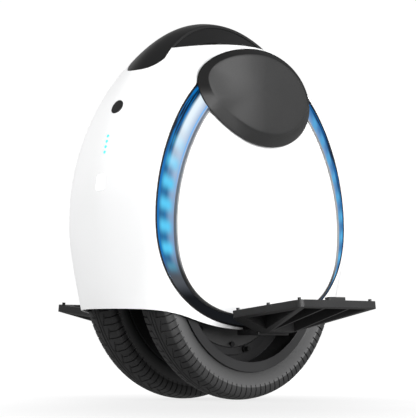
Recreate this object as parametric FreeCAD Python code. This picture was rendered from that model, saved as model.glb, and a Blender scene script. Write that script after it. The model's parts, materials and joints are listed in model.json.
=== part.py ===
import FreeCAD, Part
import math
import os
from collections import namedtuple
from FreeCAD import Vector

# Twin tyre electric unicycle. +X is forward, +Y is the rider's left, +Z is up.
# The origin is on the ground, below the middle of the axle.

Egg = namedtuple("Egg", "half centre top bottom top_power bottom_power")

# Fits
FIT = 0.3
RUN = 0.05
LIGHT_FIT = 0.15
OVERRUN = 3.0
MOSTLY = 0.9

# Tyres and tubes
WHEEL_RADIUS = 178.0
TYRE_CENTRE = 50.0
TYRE_WIDTH = 46.0
TYRE_WALL = 5.0
TREAD_THICKNESS = 9.0
BEAD_RADIUS = 138.5
GROOVE_WIDTH = 2.2
GROOVE_DEPTH = 3.0
GROOVE_SHARES = (-0.55, -0.2, 0.2, 0.55)
# Half a tyre's outline: shares of half its width, and of its height above the bead
SIDEWALL_SHARES = ((0.86, 0.0), (0.97, 0.2), (1.0, 0.44))
SHOULDER_SHARES = ((1.0, 0.44), (0.975, 0.7), (0.84, 0.89))
TUBE_WALL = 2.5

# Rims
RIM_WALL = 5.0
LIP_RADIUS = 128.0
LIP_WIDTH = 1.8
LIP_RISE = 3.0
WEB_WIDTH = 5.0
FLANGE_RADIUS = 118.5
FLANGE_WIDTH = 5.0

# Valves
VALVE_RADIUS = 3.2
VALVE_LENGTH = 9.0
VALVE_NUT_RADIUS = 5.0
VALVE_NUT_HEIGHT = 3.0
VALVE_ANGLE = 193.0

# Hub motor
DRUM_RADIUS = 108.0
DRUM_WALL = 8.0
MAGNET_COUNT = 36
MAGNET_HEIGHT = 4.5
MAGNET_HALF = 18.0
MAGNET_PITCH_SHARE = 0.86
AIR_GAP = 1.5
STATOR_HALF = 15.0
STATOR_YOKE = 62.0
TOOTH_COUNT = 18
TOOTH_WIDTH = 9.0
COIL_WALL = 3.0
COIL_START = 66.0
COIL_HEIGHT = 20.0
COVER_THICKNESS = 5.0
COVER_HUB_RADIUS = 34.0
COVER_HUB_LENGTH = 14.0
COVER_SLOPE_RADIUS = 62.0
COVER_SCREW_COUNT = 10
COVER_SCREW_RADIUS = 2.0
COVER_SCREW_LENGTH = 11.0
COVER_HEAD_RADIUS = 3.6
COVER_HEAD_HEIGHT = 2.4
BEARING_RADIUS = 21.0
BEARING_WIDTH = 12.0
SHIELD_DEPTH = 0.8
SHIELD_EDGE = 3.0

# Axle
AXLE_RADIUS = 10.0
AXLE_SHOULDER = 13.0
AXLE_END_RADIUS = 8.0
AXLE_BORE = 3.6
AXLE_BORE_LENGTH = 26.0
AXLE_STUB = 2.0
NUT_HEIGHT = 4.0
NUT_RADIUS = 15.0

# Hanger plates and pedal hinges
HANGER_GAP = 1.8
HANGER_THICKNESS = 5.0
HANGER_TOP = 386.0
HANGER_TOP_HALF = 38.0
HANGER_WAIST_HALF = 22.0
HANGER_SHOULDER_RISE = 150.0
HANGER_BOSS = 30.0
FOOT_HALF = 30.0
FOOT_LOW = 85.5
FOOT_THICKNESS = 7.0
FOOT_REACH = 7.0
HINGE_Y = 106.0
HINGE_Z = 107.0
PIN_RADIUS = 4.0
LUG_RADIUS = 8.5
LUG_INNER = 14.0
LUG_WIDTH = 12.0
LUG_BACK = 8.5
PIN_HEAD = 1.5
BOLT_RADIUS = 3.0
BOLT_HEAD_RADIUS = 5.0
BOLT_HEAD_HEIGHT = 3.5
BOLT_INSET = 10.0
BOLT_SPREAD = 22.0

# Pedals, measured from the top face's inner edge
PEDAL_HALF = 78.0
PEDAL_WIDTH = 120.0
PEDAL_TOP = 116.2
PEDAL_TILT = 6.5
PEDAL_EDGE = 9.0
PEDAL_DEPTH = 29.0
PEDAL_KEEL = 16.0
PEDAL_KEEL_HALF = 24.0
PEDAL_CORNER = 9.0
PEDAL_SKIN = 5.0
PEDAL_RIB = 4.0
PEDAL_RIM = 7.0
PEDAL_BACK = 20.0
MAT_INSET = 14.0
MAT_RECESS = 1.5
MAT_PROUD = 1.0
MAT_CORNER = 6.0
STUD_RADIUS = 2.2
STUD_HEIGHT = 3.4
STUD_INSET = 7.5
BUMPER_HALF = 17.0
BUMPER_WIDTH = 9.0
BUMPER_HEIGHT = 4.5
BUMPER_INSET = 3.0
BUMPER_CORNER = 3.0
KNUCKLE_RADIUS = 8.0

# Egg outlines: the light band's outer and inner edges, and the shell's middle line
EGG_POINTS = 40
BAND_OUTER = Egg(186.5, 237.0, 222.5, 141.5, 1.9, 2.25)
BAND_INNER = Egg(161.5, 231.0, 199.0, 122.5, 1.8, 2.66)
CROWN = Egg(211.0, 237.0, 272.5, 230.0, 2.0, 4.0)
CROWN_POWER = 1.4
SKIRT_POWER = 2.4
SECTION_SHARES = (-1.0, -0.97, -0.88, -0.7, -0.4, 0.0, 0.4, 0.7, 0.88, 0.97, 1.0)

# Shell
SHELL_EDGE_Y = 78.5
SHELL_RIM = 2.5
SHELL_WALL = 3.0
SHELL_SPLIT = 0.2
SKIRT_FRONT = 119.0
SKIRT_LOW = 93.0
SKIRT_FLAT = 20.0
SKIRT_END = 215.0
SADDLE_TOP = 472.0
SADDLE_HALF = 165.0
SADDLE_SAG = 20.8
WELL_DEPTH = 32.0
WELL_WALL = 3.0

# Handle
HANDLE_FOOT = 122.0
HANDLE_TIP = 147.0
HANDLE_FOOT_HALF = 31.0
HANDLE_MIDDLE_HALF = 17.0
HANDLE_COVER = 4.0
HANDLE_DEPTH = 24.0
HANDLE_STEP = 1.2

# Button, lights and charging socket
BUTTON_Z = 381.5
BUTTON_RADIUS = 9.8
BUTTON_FLANGE = 2.0
BUTTON_TRAVEL = 1.5
SWITCH_DEPTH = 9.0
SWITCH_WALL = 2.0
CHARGE_LIGHT_TOP = 342.0
CHARGE_LIGHT_STEP = 7.1
CHARGE_LIGHT_COUNT = 4
CHARGE_LIGHT_RADIUS = 2.0
HEADLIGHT_Z = 281.5
HEADLIGHT_WIDTH = 17.0
HEADLIGHT_HEIGHT = 22.0
HEADLIGHT_CORNER = 5.0
LAMP_MARGIN = 4.0
LAMP_DEPTH = 16.0
TAIL_Z = 335.0
TAIL_WIDTH = 44.0
TAIL_HEIGHT = 11.0
TAIL_CORNER = 5.0
PORT_Z = 262.0
PORT_RADIUS = 13.0
PORT_DEPTH = 20.0
PORT_FLANGE = 4.0
SOCKET_RADIUS = 6.0
SOCKET_DEPTH = 9.0
CAP_THICKNESS = 3.2
CAP_NOTCH = 4.0
CAP_BARREL = 1.2
CAP_BARREL_HALF = 3.0

# Light band, panel and leg pad
BAND_OUTER_Y = 79.5
BAND_INNER_Y = 91.0
LENS_INNER_Y = 86.5
TRAY_BACK = 75.8
TRAY_WALL = 1.5
TRIM_WIDTH = 2.0
LENS_THICKNESS = 2.0
RIM_LINE = 2.5
RIM_PROUD = 0.3
PANEL_WALL = 2.5
PANEL_CROWN = 2.0
PANEL_EDGE = 2.2
PANEL_EASE = 9.0
PANEL_FLAT = 34.0
STRIP_HALF = 4.0
STRIP_THICKNESS = 0.5
LED_PITCH = 28.0
LED_SIZE = 5.0
LED_HEIGHT = 1.6
LED_LOWEST = 157.0
PAD_CENTRE = (17.5, 401.7)
PAD_HALF_LENGTH = 110.5
PAD_HALF_HEIGHT = 63.3
PAD_TILT = 7.0
PAD_POWER = 1.9
PAD_TAPER_SHARE = -0.17
PAD_POINTS = 40
PAD_THICKNESS = 19.0
PAD_DRAW_IN = 3.0
PAD_SIDE_SHARE = 0.22
PAD_FACE_SHARE = 0.84
PAD_FACE_CENTRE = (26.0, 404.5)
PAD_FACE_HALF_LENGTH = 100.0
PAD_FACE_HALF_HEIGHT = 51.0
PAD_CROWN_INSET = 26.0
PAD_FOOT_Y = 60.0
# The pad bends round the front of the body and gets thinner there
PAD_BEND_START = 0.0
PAD_BEND_END = 134.0
PAD_BEND_DROP = 26.0
PAD_BEND_SLIDE = 1.06
PAD_BEND_CLIMB = 0.2
PAD_BEND_STEPS = 6
PAD_THIN_SHARE = 0.5
PAD_SIDE_LEAST = 2.6
PAD_FACE_LEAST = 6.0
PAD_CROWN_LEAST = 8.0

# Wheel arch, batteries and electronics
ARCH_GAP = 6.0
ARCH_WALL = 3.0
ARCH_LOW = 122.0
ARCH_LEDGE = 3.0
FLANGE_HALF = 62.0
FLANGE_FOOT = 320.0
BATTERY_HALF_LENGTH = 44.0
BATTERY_HALF_WIDTH = 48.0
BATTERY_HEIGHT = 40.0
BATTERY_EDGE = 4.0
BATTERY_ANGLE = 45.0
RAIL_WIDTH = 6.0
RAIL_INSET = 2.0
SINK_HALF_LENGTH = 70.0
SINK_HALF_WIDTH = 50.0
SINK_BASE = 6.0
SINK_FIN = 12.0
SINK_FIN_WIDTH = 2.0
SINK_FIN_COUNT = 12
BOARD_THICKNESS = 2.0
CAPACITOR_RADIUS = 8.0
CAPACITOR_HEIGHT = 22.0
CAPACITOR_SHARES = (-0.7, -0.35, 0.35, 0.7)
TERMINAL_HALF = 12.0
TERMINAL_DEPTH = 8.0
TERMINAL_HEIGHT = 24.0
CABLE_RADIUS = 2.5
CABLE_BEND = 5.0
CABLE_TOP_BEND = 12.0

# Worked out from the sizes above
AXLE_Z = WHEEL_RADIUS
TYRE_OUT = TYRE_CENTRE + TYRE_WIDTH / 2
TYRE_IN = TYRE_CENTRE - TYRE_WIDTH / 2
BARREL_RADIUS = BEAD_RADIUS - FIT
DRUM_HALF = TYRE_IN + WEB_WIDTH
COVER_IN = DRUM_HALF + FIT
COVER_OUT = COVER_IN + COVER_THICKNESS
HUB_OUT = COVER_OUT + COVER_HUB_LENGTH / 2
HUB_IN = HUB_OUT - COVER_HUB_LENGTH
HANGER_IN = TYRE_OUT + HANGER_GAP
HANGER_OUT = HANGER_IN + HANGER_THICKNESS
FOOT_OUT = HINGE_Y + FOOT_REACH
FOOT_HIGH = FOOT_LOW + FOOT_THICKNESS
AXLE_END = HANGER_OUT + AXLE_STUB
ARCH_IN = WHEEL_RADIUS + ARCH_GAP
ARCH_OUT = ARCH_IN + ARCH_WALL
ARCH_HALF = HANGER_IN - FIT
PANEL_FACE = BAND_INNER_Y + PANEL_CROWN
SEAT_Z = AXLE_Z + ARCH_OUT + FIT
WHOLE_Y = PANEL_FACE + PAD_THICKNESS


def block(x, y, z):
    """Box between pairs of low and high values."""
    return Part.makeBox(x[1] - x[0], y[1] - y[0], z[1] - z[0], Vector(x[0], y[0], z[0]))


def rod(start, direction, radius, length):
    """Cylinder from a start point."""
    return Part.makeCylinder(radius, length, Vector(*start), Vector(*direction))


def fuse(shapes):
    """One solid from several that overlap."""
    whole = shapes[0]
    for shape in shapes[1:]:
        whole = whole.fuse(shape)
    return whole.removeSplitter()


def group(shapes):
    """Separate solids kept in one node."""
    return Part.makeCompound(shapes)


def mirrored(shape):
    """The same piece on the other side of the middle plane."""
    return shape.mirror(Vector(0, 0, 0), Vector(0, 1, 0))


def outline(points):
    """Closed straight-sided wire through points."""
    return Part.makePolygon(points + points[:1])


def turned(places):
    """Ring turned about the axle from (across, radius) places."""
    points = [Vector(0, across, AXLE_Z + radius) for across, radius in places]
    face = Part.Face(outline(points))
    return face.revolve(Vector(0, 0, AXLE_Z), Vector(0, 1, 0), 360)


def round_axle(shape, angle):
    """Shape turned about the axle."""
    copy = shape.copy()
    copy.rotate(Vector(0, 0, AXLE_Z), Vector(0, 1, 0), angle)
    return copy


def prism_y(points, low, high):
    """Prism along Y from (x, z) corners."""
    face = Part.Face(outline([Vector(x, low, z) for x, z in points]))
    return face.extrude(Vector(0, high - low, 0))


def prism_x(points, low, high):
    """Prism along X from (y, z) corners."""
    face = Part.Face(outline([Vector(low, y, z) for y, z in points]))
    return face.extrude(Vector(high - low, 0, 0))


def rounded_block(x, y, z, corner, along):
    """Box with its edges along one direction rounded."""
    solid = block(x, y, z)
    edges = [edge for edge in solid.Edges if abs(edge.tangentAt(0).dot(Vector(*along))) > MOSTLY]
    return solid.makeFillet(corner, edges)


def arc(first, middle, last):
    """Edge of an arc through three points."""
    return Part.Arc(first, middle, last).toShape()


def line(first, last):
    """Straight edge."""
    return Part.LineSegment(first, last).toShape()


def grown(egg, margin):
    """Egg outline moved outwards by a margin."""
    return egg._replace(half=egg.half + margin, top=egg.top + margin, bottom=egg.bottom + margin)


def egg_place(egg, angle):
    """Place (x, z) on an egg outline in a direction from its centre."""
    across, rise = math.cos(angle), math.sin(angle)
    reach, power = (egg.top, egg.top_power) if rise >= 0 else (egg.bottom, egg.bottom_power)
    radius = ((abs(across) / egg.half) ** power + (abs(rise) / reach) ** power) ** (-1 / power)
    return radius * across, egg.centre + radius * rise


def curve_wire(places, y):
    """Closed smooth wire through (x, z) places at one y."""
    curve = Part.BSplineCurve()
    curve.interpolate(Points=[Vector(x, y, z) for x, z in places], PeriodicFlag=True)
    return Part.Wire([curve.toShape()])


def egg_places(egg):
    """Places round an egg outline."""
    return [egg_place(egg, 2 * math.pi * index / EGG_POINTS) for index in range(EGG_POINTS)]


def egg_prism(egg, low, high):
    """Prism along Y with an egg outline."""
    return Part.Face(curve_wire(egg_places(egg), low)).extrude(Vector(0, high - low, 0))


def egg_loft(sections):
    """Solid through (egg, y) sections with straight sides between them."""
    return Part.makeLoft([curve_wire(egg_places(egg), y) for egg, y in sections], True, True)


def section_lift(share, angle):
    """How far the shell's section rises from its edge to its crown, fuller towards the ground."""
    power = CROWN_POWER + (SKIRT_POWER - CROWN_POWER) * max(0, -math.sin(angle))
    return (1 - share ** power) ** (1 / power)


def body(inset, half_width=SHELL_EDGE_Y):
    """The whole crowned egg, moved inwards by an inset."""
    edge = egg_places(grown(BAND_OUTER, SHELL_RIM - inset))
    crown = egg_places(grown(CROWN, -inset))
    wires = []
    for share in SECTION_SHARES:
        places = []
        for index, ((a, b), (c, d)) in enumerate(zip(edge, crown)):
            lift = section_lift(abs(share), 2 * math.pi * index / EGG_POINTS)
            places.append((a + (c - a) * lift, b + (d - b) * lift))
        wires.append(curve_wire(places, share * half_width))
    return Part.makeLoft(wires, True, False)


def crown_x(z):
    """How far forward the shell's middle line is at a height."""
    rise = abs(z - CROWN.centre)
    reach, power = (CROWN.top, CROWN.top_power) if z > CROWN.centre else (CROWN.bottom, CROWN.bottom_power)
    return CROWN.half * (1 - (rise / reach) ** power) ** (1 / power)


def crown_normal(z):
    """Direction that the shell's front faces at a height above its widest."""
    power = CROWN.top_power
    across = (crown_x(z) / CROWN.half) ** (power - 1) / CROWN.half
    rise = ((z - CROWN.centre) / CROWN.top) ** (power - 1) / CROWN.top
    size = math.hypot(across, rise)
    return Vector(across / size, 0, rise / size)


def saddle(drop, high):
    """Region between the saddle's curve, lowered by a drop, and a height."""
    half, top = SADDLE_HALF, SADDLE_TOP - drop
    low = top - SADDLE_SAG
    reach = -SHELL_EDGE_Y - OVERRUN
    ends = [Vector(-half, reach, low), Vector(half, reach, low)]
    tops = [Vector(half, reach, high), Vector(-half, reach, high)]
    edges = [arc(ends[0], Vector(0, reach, top), ends[1]), line(ends[1], tops[0])]
    edges += [line(tops[0], tops[1]), line(tops[1], ends[0])]
    return Part.Face(Part.Wire(edges)).extrude(Vector(0, -2 * reach, 0))


def skirt():
    """Everything below the shell's lower edge."""
    reach = -SHELL_EDGE_Y - OVERRUN
    run, rise = SKIRT_END - SKIRT_FLAT, SKIRT_FRONT - SKIRT_LOW
    radius = (run ** 2 + rise ** 2) / (4 * rise)
    half_turn = math.asin(run / 2 / radius) / 2
    step = Vector(radius * math.sin(half_turn), 0, radius * (1 - math.cos(half_turn)))

    def side(sign):
        low = Vector(sign * SKIRT_FLAT, reach, SKIRT_LOW)
        high = Vector(sign * SKIRT_END, reach, SKIRT_FRONT)
        shift = Vector(sign * step.x, 0, step.z)
        middle = (low + high) * 0.5
        return low, high, arc(low, low + shift, middle), arc(middle, high - shift, high)

    front_low, front_high, front_a, front_b = side(1)
    rear_low, rear_high, rear_a, rear_b = side(-1)
    floor = Vector(0, 0, -SKIRT_FRONT)
    edges = [line(rear_low, front_low), front_a, front_b, line(front_high, front_high + floor)]
    edges += [line(front_high + floor, rear_high + floor), line(rear_high + floor, rear_high), rear_b, rear_a]
    wire = Part.Wire(Part.__sortEdges__(edges))
    return Part.Face(wire).extrude(Vector(0, -2 * reach, 0))


def handle_plan(margin):
    """Upright prism with the handle's outline seen from above."""
    low, high = CROWN.centre + CROWN.top / 2, CROWN.centre + CROWN.top + OVERRUN
    foot, tip = HANDLE_FOOT, HANDLE_TIP + margin
    foot_half, middle_half = HANDLE_FOOT_HALF + margin, HANDLE_MIDDLE_HALF + margin
    corners = [Vector(x, y, low) for x, y in ((-foot, foot_half), (foot, foot_half), (foot, -foot_half),
                                              (-foot, -foot_half))]
    edges = [arc(corners[0], Vector(0, middle_half, low), corners[1])]
    edges.append(arc(corners[1], Vector(tip, 0, low), corners[2]))
    edges.append(arc(corners[2], Vector(0, -middle_half, low), corners[3]))
    edges.append(arc(corners[3], Vector(-tip, 0, low), corners[0]))
    return Part.Face(Part.Wire(edges)).extrude(Vector(0, 0, high - low))


def tyre_section(half, height, base):
    """Edges of half a tyre's outline and its mirror, from bead over the tread to bead."""
    def place(share, sign):
        return Vector(0, TYRE_CENTRE + sign * half * share[0], AXLE_Z + base + height * share[1])

    edges = []
    for sign in (1, -1):
        edges.append(arc(*[place(share, sign) for share in SIDEWALL_SHARES]))
        edges.append(arc(*[place(share, sign) for share in SHOULDER_SHARES]))
    crown = Vector(0, TYRE_CENTRE, AXLE_Z + base + height)
    edges.append(arc(place(SHOULDER_SHARES[2], 1), crown, place(SHOULDER_SHARES[2], -1)))
    beads = [place(SIDEWALL_SHARES[0], sign) for sign in (1, -1)]
    return edges, beads


def spun(edges):
    """Ring turned about the axle from the edges of a closed section."""
    face = Part.Face(Part.Wire(Part.__sortEdges__(edges)))
    return face.revolve(Vector(0, 0, AXLE_Z), Vector(0, 1, 0), 360)


def tyre():
    """Hollow tyre with rings cut round its tread."""
    height = WHEEL_RADIUS - BEAD_RADIUS
    outer, outer_beads = tyre_section(TYRE_WIDTH / 2, height, BEAD_RADIUS)
    inner, inner_beads = tyre_section(TYRE_WIDTH / 2 - TYRE_WALL, height - TREAD_THICKNESS, BEAD_RADIUS)
    feet = [line(a, b) for a, b in zip(outer_beads, inner_beads)]
    solid = spun(outer + inner + feet)
    for share in GROOVE_SHARES:
        middle = TYRE_CENTRE + share * TYRE_WIDTH / 2
        low, high = middle - GROOVE_WIDTH / 2, middle + GROOVE_WIDTH / 2
        top, floor = WHEEL_RADIUS + OVERRUN, WHEEL_RADIUS - GROOVE_DEPTH - abs(share) * GROOVE_DEPTH
        solid = solid.cut(turned([(low, floor), (high, floor), (high, top), (low, top)]))
    return solid


def tube():
    """Hollow inner tube that fills a tyre."""
    half = TYRE_WIDTH / 2 - TYRE_WALL - FIT
    height = WHEEL_RADIUS - BEAD_RADIUS - TREAD_THICKNESS - 2 * FIT
    skins = []
    for wall in (0, TUBE_WALL):
        edges, beads = tyre_section(half - wall, height - 2 * wall, BEAD_RADIUS + FIT + wall)
        skins.append(spun(edges + [line(beads[0], beads[1])]))
    return skins[0].cut(skins[1])


def rim():
    """Dished rim with a wide outer lip, a barrel, a web and a hub flange."""
    inside = BARREL_RADIUS - RIM_WALL
    top = BARREL_RADIUS + LIP_RISE
    lip_in = TYRE_OUT - LIP_WIDTH
    web_out = TYRE_IN + WEB_WIDTH
    bore = DRUM_RADIUS + FIT
    flange_out = web_out + FLANGE_WIDTH
    places = [(TYRE_IN, bore), (flange_out, bore), (flange_out, FLANGE_RADIUS), (web_out, FLANGE_RADIUS)]
    places += [(web_out, inside), (lip_in, inside), (lip_in, LIP_RADIUS), (TYRE_OUT, LIP_RADIUS)]
    places += [(TYRE_OUT, top), (lip_in, top), (lip_in, BARREL_RADIUS), (TYRE_IN + LIP_WIDTH, BARREL_RADIUS)]
    places += [(TYRE_IN + LIP_WIDTH, top), (TYRE_IN, top)]
    return turned(places)


def valve():
    """Valve stem with its nut on the rim's flange."""
    start = TYRE_IN + WEB_WIDTH + FLANGE_WIDTH
    radius = (DRUM_RADIUS + FLANGE_RADIUS) / 2
    nut = rod((0, start, AXLE_Z + radius), (0, 1, 0), VALVE_NUT_RADIUS, VALVE_NUT_HEIGHT)
    stem = rod((0, start, AXLE_Z + radius), (0, 1, 0), VALVE_RADIUS, VALVE_LENGTH)
    return round_axle(fuse([nut, stem]), VALVE_ANGLE)


def motor_drum():
    """Drum between the two rims that holds the magnets."""
    inside = DRUM_RADIUS - DRUM_WALL
    places = [(-DRUM_HALF, inside), (DRUM_HALF, inside), (DRUM_HALF, DRUM_RADIUS), (-DRUM_HALF, DRUM_RADIUS)]
    return turned(places)


def magnets():
    """Magnets round the inside of the drum."""
    outer = DRUM_RADIUS - DRUM_WALL - FIT
    pitch = 2 * math.pi * (outer - MAGNET_HEIGHT) / MAGNET_COUNT
    half = MAGNET_PITCH_SHARE * pitch / 2
    drop = outer - math.sqrt(outer ** 2 - half ** 2)
    low = AXLE_Z + outer - MAGNET_HEIGHT
    first = block((-half, half), (-MAGNET_HALF, MAGNET_HALF), (low, low + MAGNET_HEIGHT - drop))
    return group([round_axle(first, 360 * index / MAGNET_COUNT) for index in range(MAGNET_COUNT)])


def motor_cover():
    """End cover with a hub for the bearing."""
    bore = BEARING_RADIUS + RUN
    places = [(COVER_IN, DRUM_RADIUS), (COVER_OUT, DRUM_RADIUS), (COVER_OUT, COVER_SLOPE_RADIUS)]
    places += [(HUB_OUT, COVER_HUB_RADIUS), (HUB_OUT, bore), (HUB_IN, bore), (HUB_IN, COVER_HUB_RADIUS)]
    places += [(COVER_IN, COVER_SLOPE_RADIUS)]
    cover = turned(places)
    for screw in cover_screw_places():
        cover = cover.cut(rod(screw, (0, 1, 0), COVER_SCREW_RADIUS + RUN, COVER_SCREW_LENGTH))
    return cover


def cover_screw_places():
    """Inner end of each screw that holds a motor cover to the drum."""
    radius = DRUM_RADIUS - DRUM_WALL / 2
    start = COVER_OUT - COVER_SCREW_LENGTH
    turns = [2 * math.pi * index / COVER_SCREW_COUNT for index in range(COVER_SCREW_COUNT)]
    return [(radius * math.sin(turn), start, AXLE_Z + radius * math.cos(turn)) for turn in turns]


def cover_screws():
    """Screws of the left motor cover."""
    screws = []
    for x, y, z in cover_screw_places():
        shank = rod((x, y, z), (0, 1, 0), COVER_SCREW_RADIUS, COVER_SCREW_LENGTH)
        head = rod((x, COVER_OUT, z), (0, 1, 0), COVER_HEAD_RADIUS, COVER_HEAD_HEIGHT)
        screws.append(fuse([shank, head]))
    return screws


def tapped(shape, places):
    """Shape with a hole for each motor cover screw."""
    for x, y, z in places:
        shape = shape.cut(rod((x, y, z), (0, 1, 0), COVER_SCREW_RADIUS + RUN, COVER_SCREW_LENGTH))
    return shape


def bearing():
    """Sealed ball bearing between a cover and the axle."""
    inner, outer = AXLE_RADIUS + RUN, BEARING_RADIUS
    low = (HUB_IN + HUB_OUT - BEARING_WIDTH) / 2
    high = low + BEARING_WIDTH
    a, b = inner + SHIELD_EDGE, outer - SHIELD_EDGE
    sunk_low, sunk_high = low + SHIELD_DEPTH, high - SHIELD_DEPTH
    places = [(low, inner), (high, inner), (high, a), (sunk_high, a), (sunk_high, b), (high, b)]
    places += [(high, outer), (low, outer), (low, b), (sunk_low, b), (sunk_low, a), (low, a)]
    return turned(places)


def axle():
    """Stepped axle, hollow at the left for the motor's cable."""
    collar_in, collar_out = HUB_OUT + FIT, HANGER_IN
    half = [(collar_in, AXLE_RADIUS), (collar_in, AXLE_SHOULDER), (collar_out, AXLE_SHOULDER)]
    half += [(collar_out, AXLE_END_RADIUS), (AXLE_END, AXLE_END_RADIUS), (AXLE_END, 0)]
    other = [(-across, radius) for across, radius in reversed(half)]
    solid = turned(other + half)
    return solid.cut(rod((0, AXLE_END - AXLE_BORE_LENGTH, AXLE_Z), (0, 1, 0), AXLE_BORE, AXLE_BORE_LENGTH))


def axle_nut():
    """Thin hexagonal nut outside a hanger."""
    turns = [math.pi * index / 3 for index in range(6)]
    corners = [(NUT_RADIUS * math.cos(turn), AXLE_Z + NUT_RADIUS * math.sin(turn)) for turn in turns]
    nut = prism_y(corners, HANGER_OUT, HANGER_OUT + NUT_HEIGHT)
    return nut.cut(rod((0, HANGER_OUT, AXLE_Z), (0, 1, 0), AXLE_END_RADIUS + RUN, NUT_HEIGHT))


def stator_reach():
    """Radius of the stator's tooth tips."""
    return DRUM_RADIUS - DRUM_WALL - FIT - MAGNET_HEIGHT - AIR_GAP


def stator_core():
    """Stator yoke and teeth on the axle."""
    bore = AXLE_RADIUS + RUN
    yoke = turned([(-STATOR_HALF, bore), (STATOR_HALF, bore), (STATOR_HALF, STATOR_YOKE),
                   (-STATOR_HALF, STATOR_YOKE)])
    low, high = AXLE_Z + STATOR_YOKE - COIL_WALL, AXLE_Z + stator_reach() - FIT
    tooth = block((-TOOTH_WIDTH / 2, TOOTH_WIDTH / 2), (-STATOR_HALF, STATOR_HALF), (low, high))
    return fuse([yoke] + [round_axle(tooth, 360 * index / TOOTH_COUNT) for index in range(TOOTH_COUNT)])


def windings():
    """One coil round each stator tooth."""
    low, high = AXLE_Z + COIL_START, AXLE_Z + COIL_START + COIL_HEIGHT
    wide, deep = TOOTH_WIDTH / 2 + FIT, STATOR_HALF + FIT
    outer = block((-wide - COIL_WALL, wide + COIL_WALL), (-deep - COIL_WALL, deep + COIL_WALL), (low, high))
    coil = outer.cut(block((-wide, wide), (-deep, deep), (low - OVERRUN, high + OVERRUN)))
    return group([round_axle(coil, 360 * index / TOOTH_COUNT) for index in range(TOOTH_COUNT)])


def bolt_places():
    """Places (x, z) of the bolts that join a hanger to the wheel arch."""
    high = HANGER_TOP - BOLT_INSET
    return [(sign * BOLT_SPREAD, high) for sign in (1, -1)]


def hanger():
    """Plate from the wheel arch to the axle, with a foot and lugs for the pedal."""
    shoulder = HANGER_TOP - HANGER_SHOULDER_RISE
    right = [(HANGER_WAIST_HALF, FOOT_LOW), (HANGER_WAIST_HALF, AXLE_Z), (HANGER_TOP_HALF, shoulder)]
    right.append((HANGER_TOP_HALF, HANGER_TOP))
    left = [(-x, z) for x, z in reversed(right)]
    plate = prism_y(right + left, HANGER_IN, HANGER_OUT)
    boss = rod((0, HANGER_IN, AXLE_Z), (0, 1, 0), HANGER_BOSS, HANGER_THICKNESS)
    foot = block((-FOOT_HALF, FOOT_HALF), (HANGER_IN, FOOT_OUT), (FOOT_LOW, FOOT_HIGH))
    pieces = [plate, boss, foot]
    for start in (LUG_INNER, -LUG_INNER - LUG_WIDTH):
        corners = [(HINGE_Y - LUG_BACK, FOOT_LOW), (FOOT_OUT, FOOT_LOW), (FOOT_OUT, HINGE_Z),
                   (HINGE_Y - LUG_BACK, HINGE_Z)]
        pieces.append(prism_x(corners, start, start + LUG_WIDTH))
        pieces.append(rod((start, HINGE_Y, HINGE_Z), (1, 0, 0), LUG_RADIUS, LUG_WIDTH))
    whole = fuse(pieces)
    whole = whole.cut(rod((0, HANGER_IN, AXLE_Z), (0, 1, 0), AXLE_END_RADIUS + RUN, HANGER_THICKNESS))
    whole = whole.cut(rod((-FOOT_HALF, HINGE_Y, HINGE_Z), (1, 0, 0), PIN_RADIUS + RUN, 2 * FOOT_HALF))
    for x, z in bolt_places():
        whole = whole.cut(rod((x, HANGER_IN, z), (0, 1, 0), BOLT_RADIUS + RUN, HANGER_THICKNESS))
    return whole


def hanger_bolts():
    """Bolts of the left hanger, with heads outside."""
    start = ARCH_HALF - ARCH_WALL
    bolts = []
    for x, z in bolt_places():
        shank = rod((x, start, z), (0, 1, 0), BOLT_RADIUS, HANGER_OUT - start)
        head = rod((x, HANGER_OUT, z), (0, 1, 0), BOLT_HEAD_RADIUS, BOLT_HEAD_HEIGHT)
        bolts.append(fuse([shank, head]))
    return bolts


def hinge_pin():
    """Pin along the left pedal's hinge, with a thin head at each end."""
    half = LUG_INNER + LUG_WIDTH
    pin = rod((-half, HINGE_Y, HINGE_Z), (1, 0, 0), PIN_RADIUS, 2 * half)
    heads = [rod((start, HINGE_Y, HINGE_Z), (1, 0, 0), PIN_RADIUS + PIN_HEAD, PIN_HEAD)
             for start in (half, -half - PIN_HEAD)]
    return fuse([pin] + heads)


def tilted(shape):
    """Pedal piece moved from its own flat frame to its place on the left side."""
    copy = shape.copy()
    copy.rotate(Vector(0, 0, 0), Vector(1, 0, 0), PEDAL_TILT)
    copy.translate(Vector(0, HINGE_Y + FIT, PEDAL_TOP))
    return copy


def pedal_pockets():
    """Three-sided hollows under the pedal, with ribs left between them."""
    far, near = PEDAL_WIDTH - PEDAL_RIM, PEDAL_BACK
    inner, outer = PEDAL_KEEL_HALF + PEDAL_RIB / 2, PEDAL_HALF - PEDAL_RIM
    slope = 2 * PEDAL_RIB
    middle = PEDAL_KEEL_HALF - PEDAL_RIB / 2
    plans = [[(-middle, near), (middle, near), (middle, far), (-middle, far)]]
    for sign in (1, -1):
        plans.append([(sign * (inner + slope), near), (sign * outer, near), (sign * outer, far - slope)])
        plans.append([(sign * inner, near + slope), (sign * (outer - slope), far), (sign * inner, far)])
    solids = []
    for plan in plans:
        face = Part.Face(outline([Vector(x, y, -PEDAL_DEPTH - OVERRUN) for x, y in plan]))
        solids.append(face.extrude(Vector(0, 0, PEDAL_DEPTH + OVERRUN - PEDAL_SKIN)))
    return solids


def mat_block(margin, low, high):
    """Rounded block in the middle of the pedal's top."""
    x = PEDAL_HALF - MAT_INSET + margin
    y = (MAT_INSET - margin, PEDAL_WIDTH - MAT_INSET - BUMPER_WIDTH / 2 + margin)
    return rounded_block((-x, x), y, (low, high), MAT_CORNER + margin, (0, 0, 1))


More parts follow.
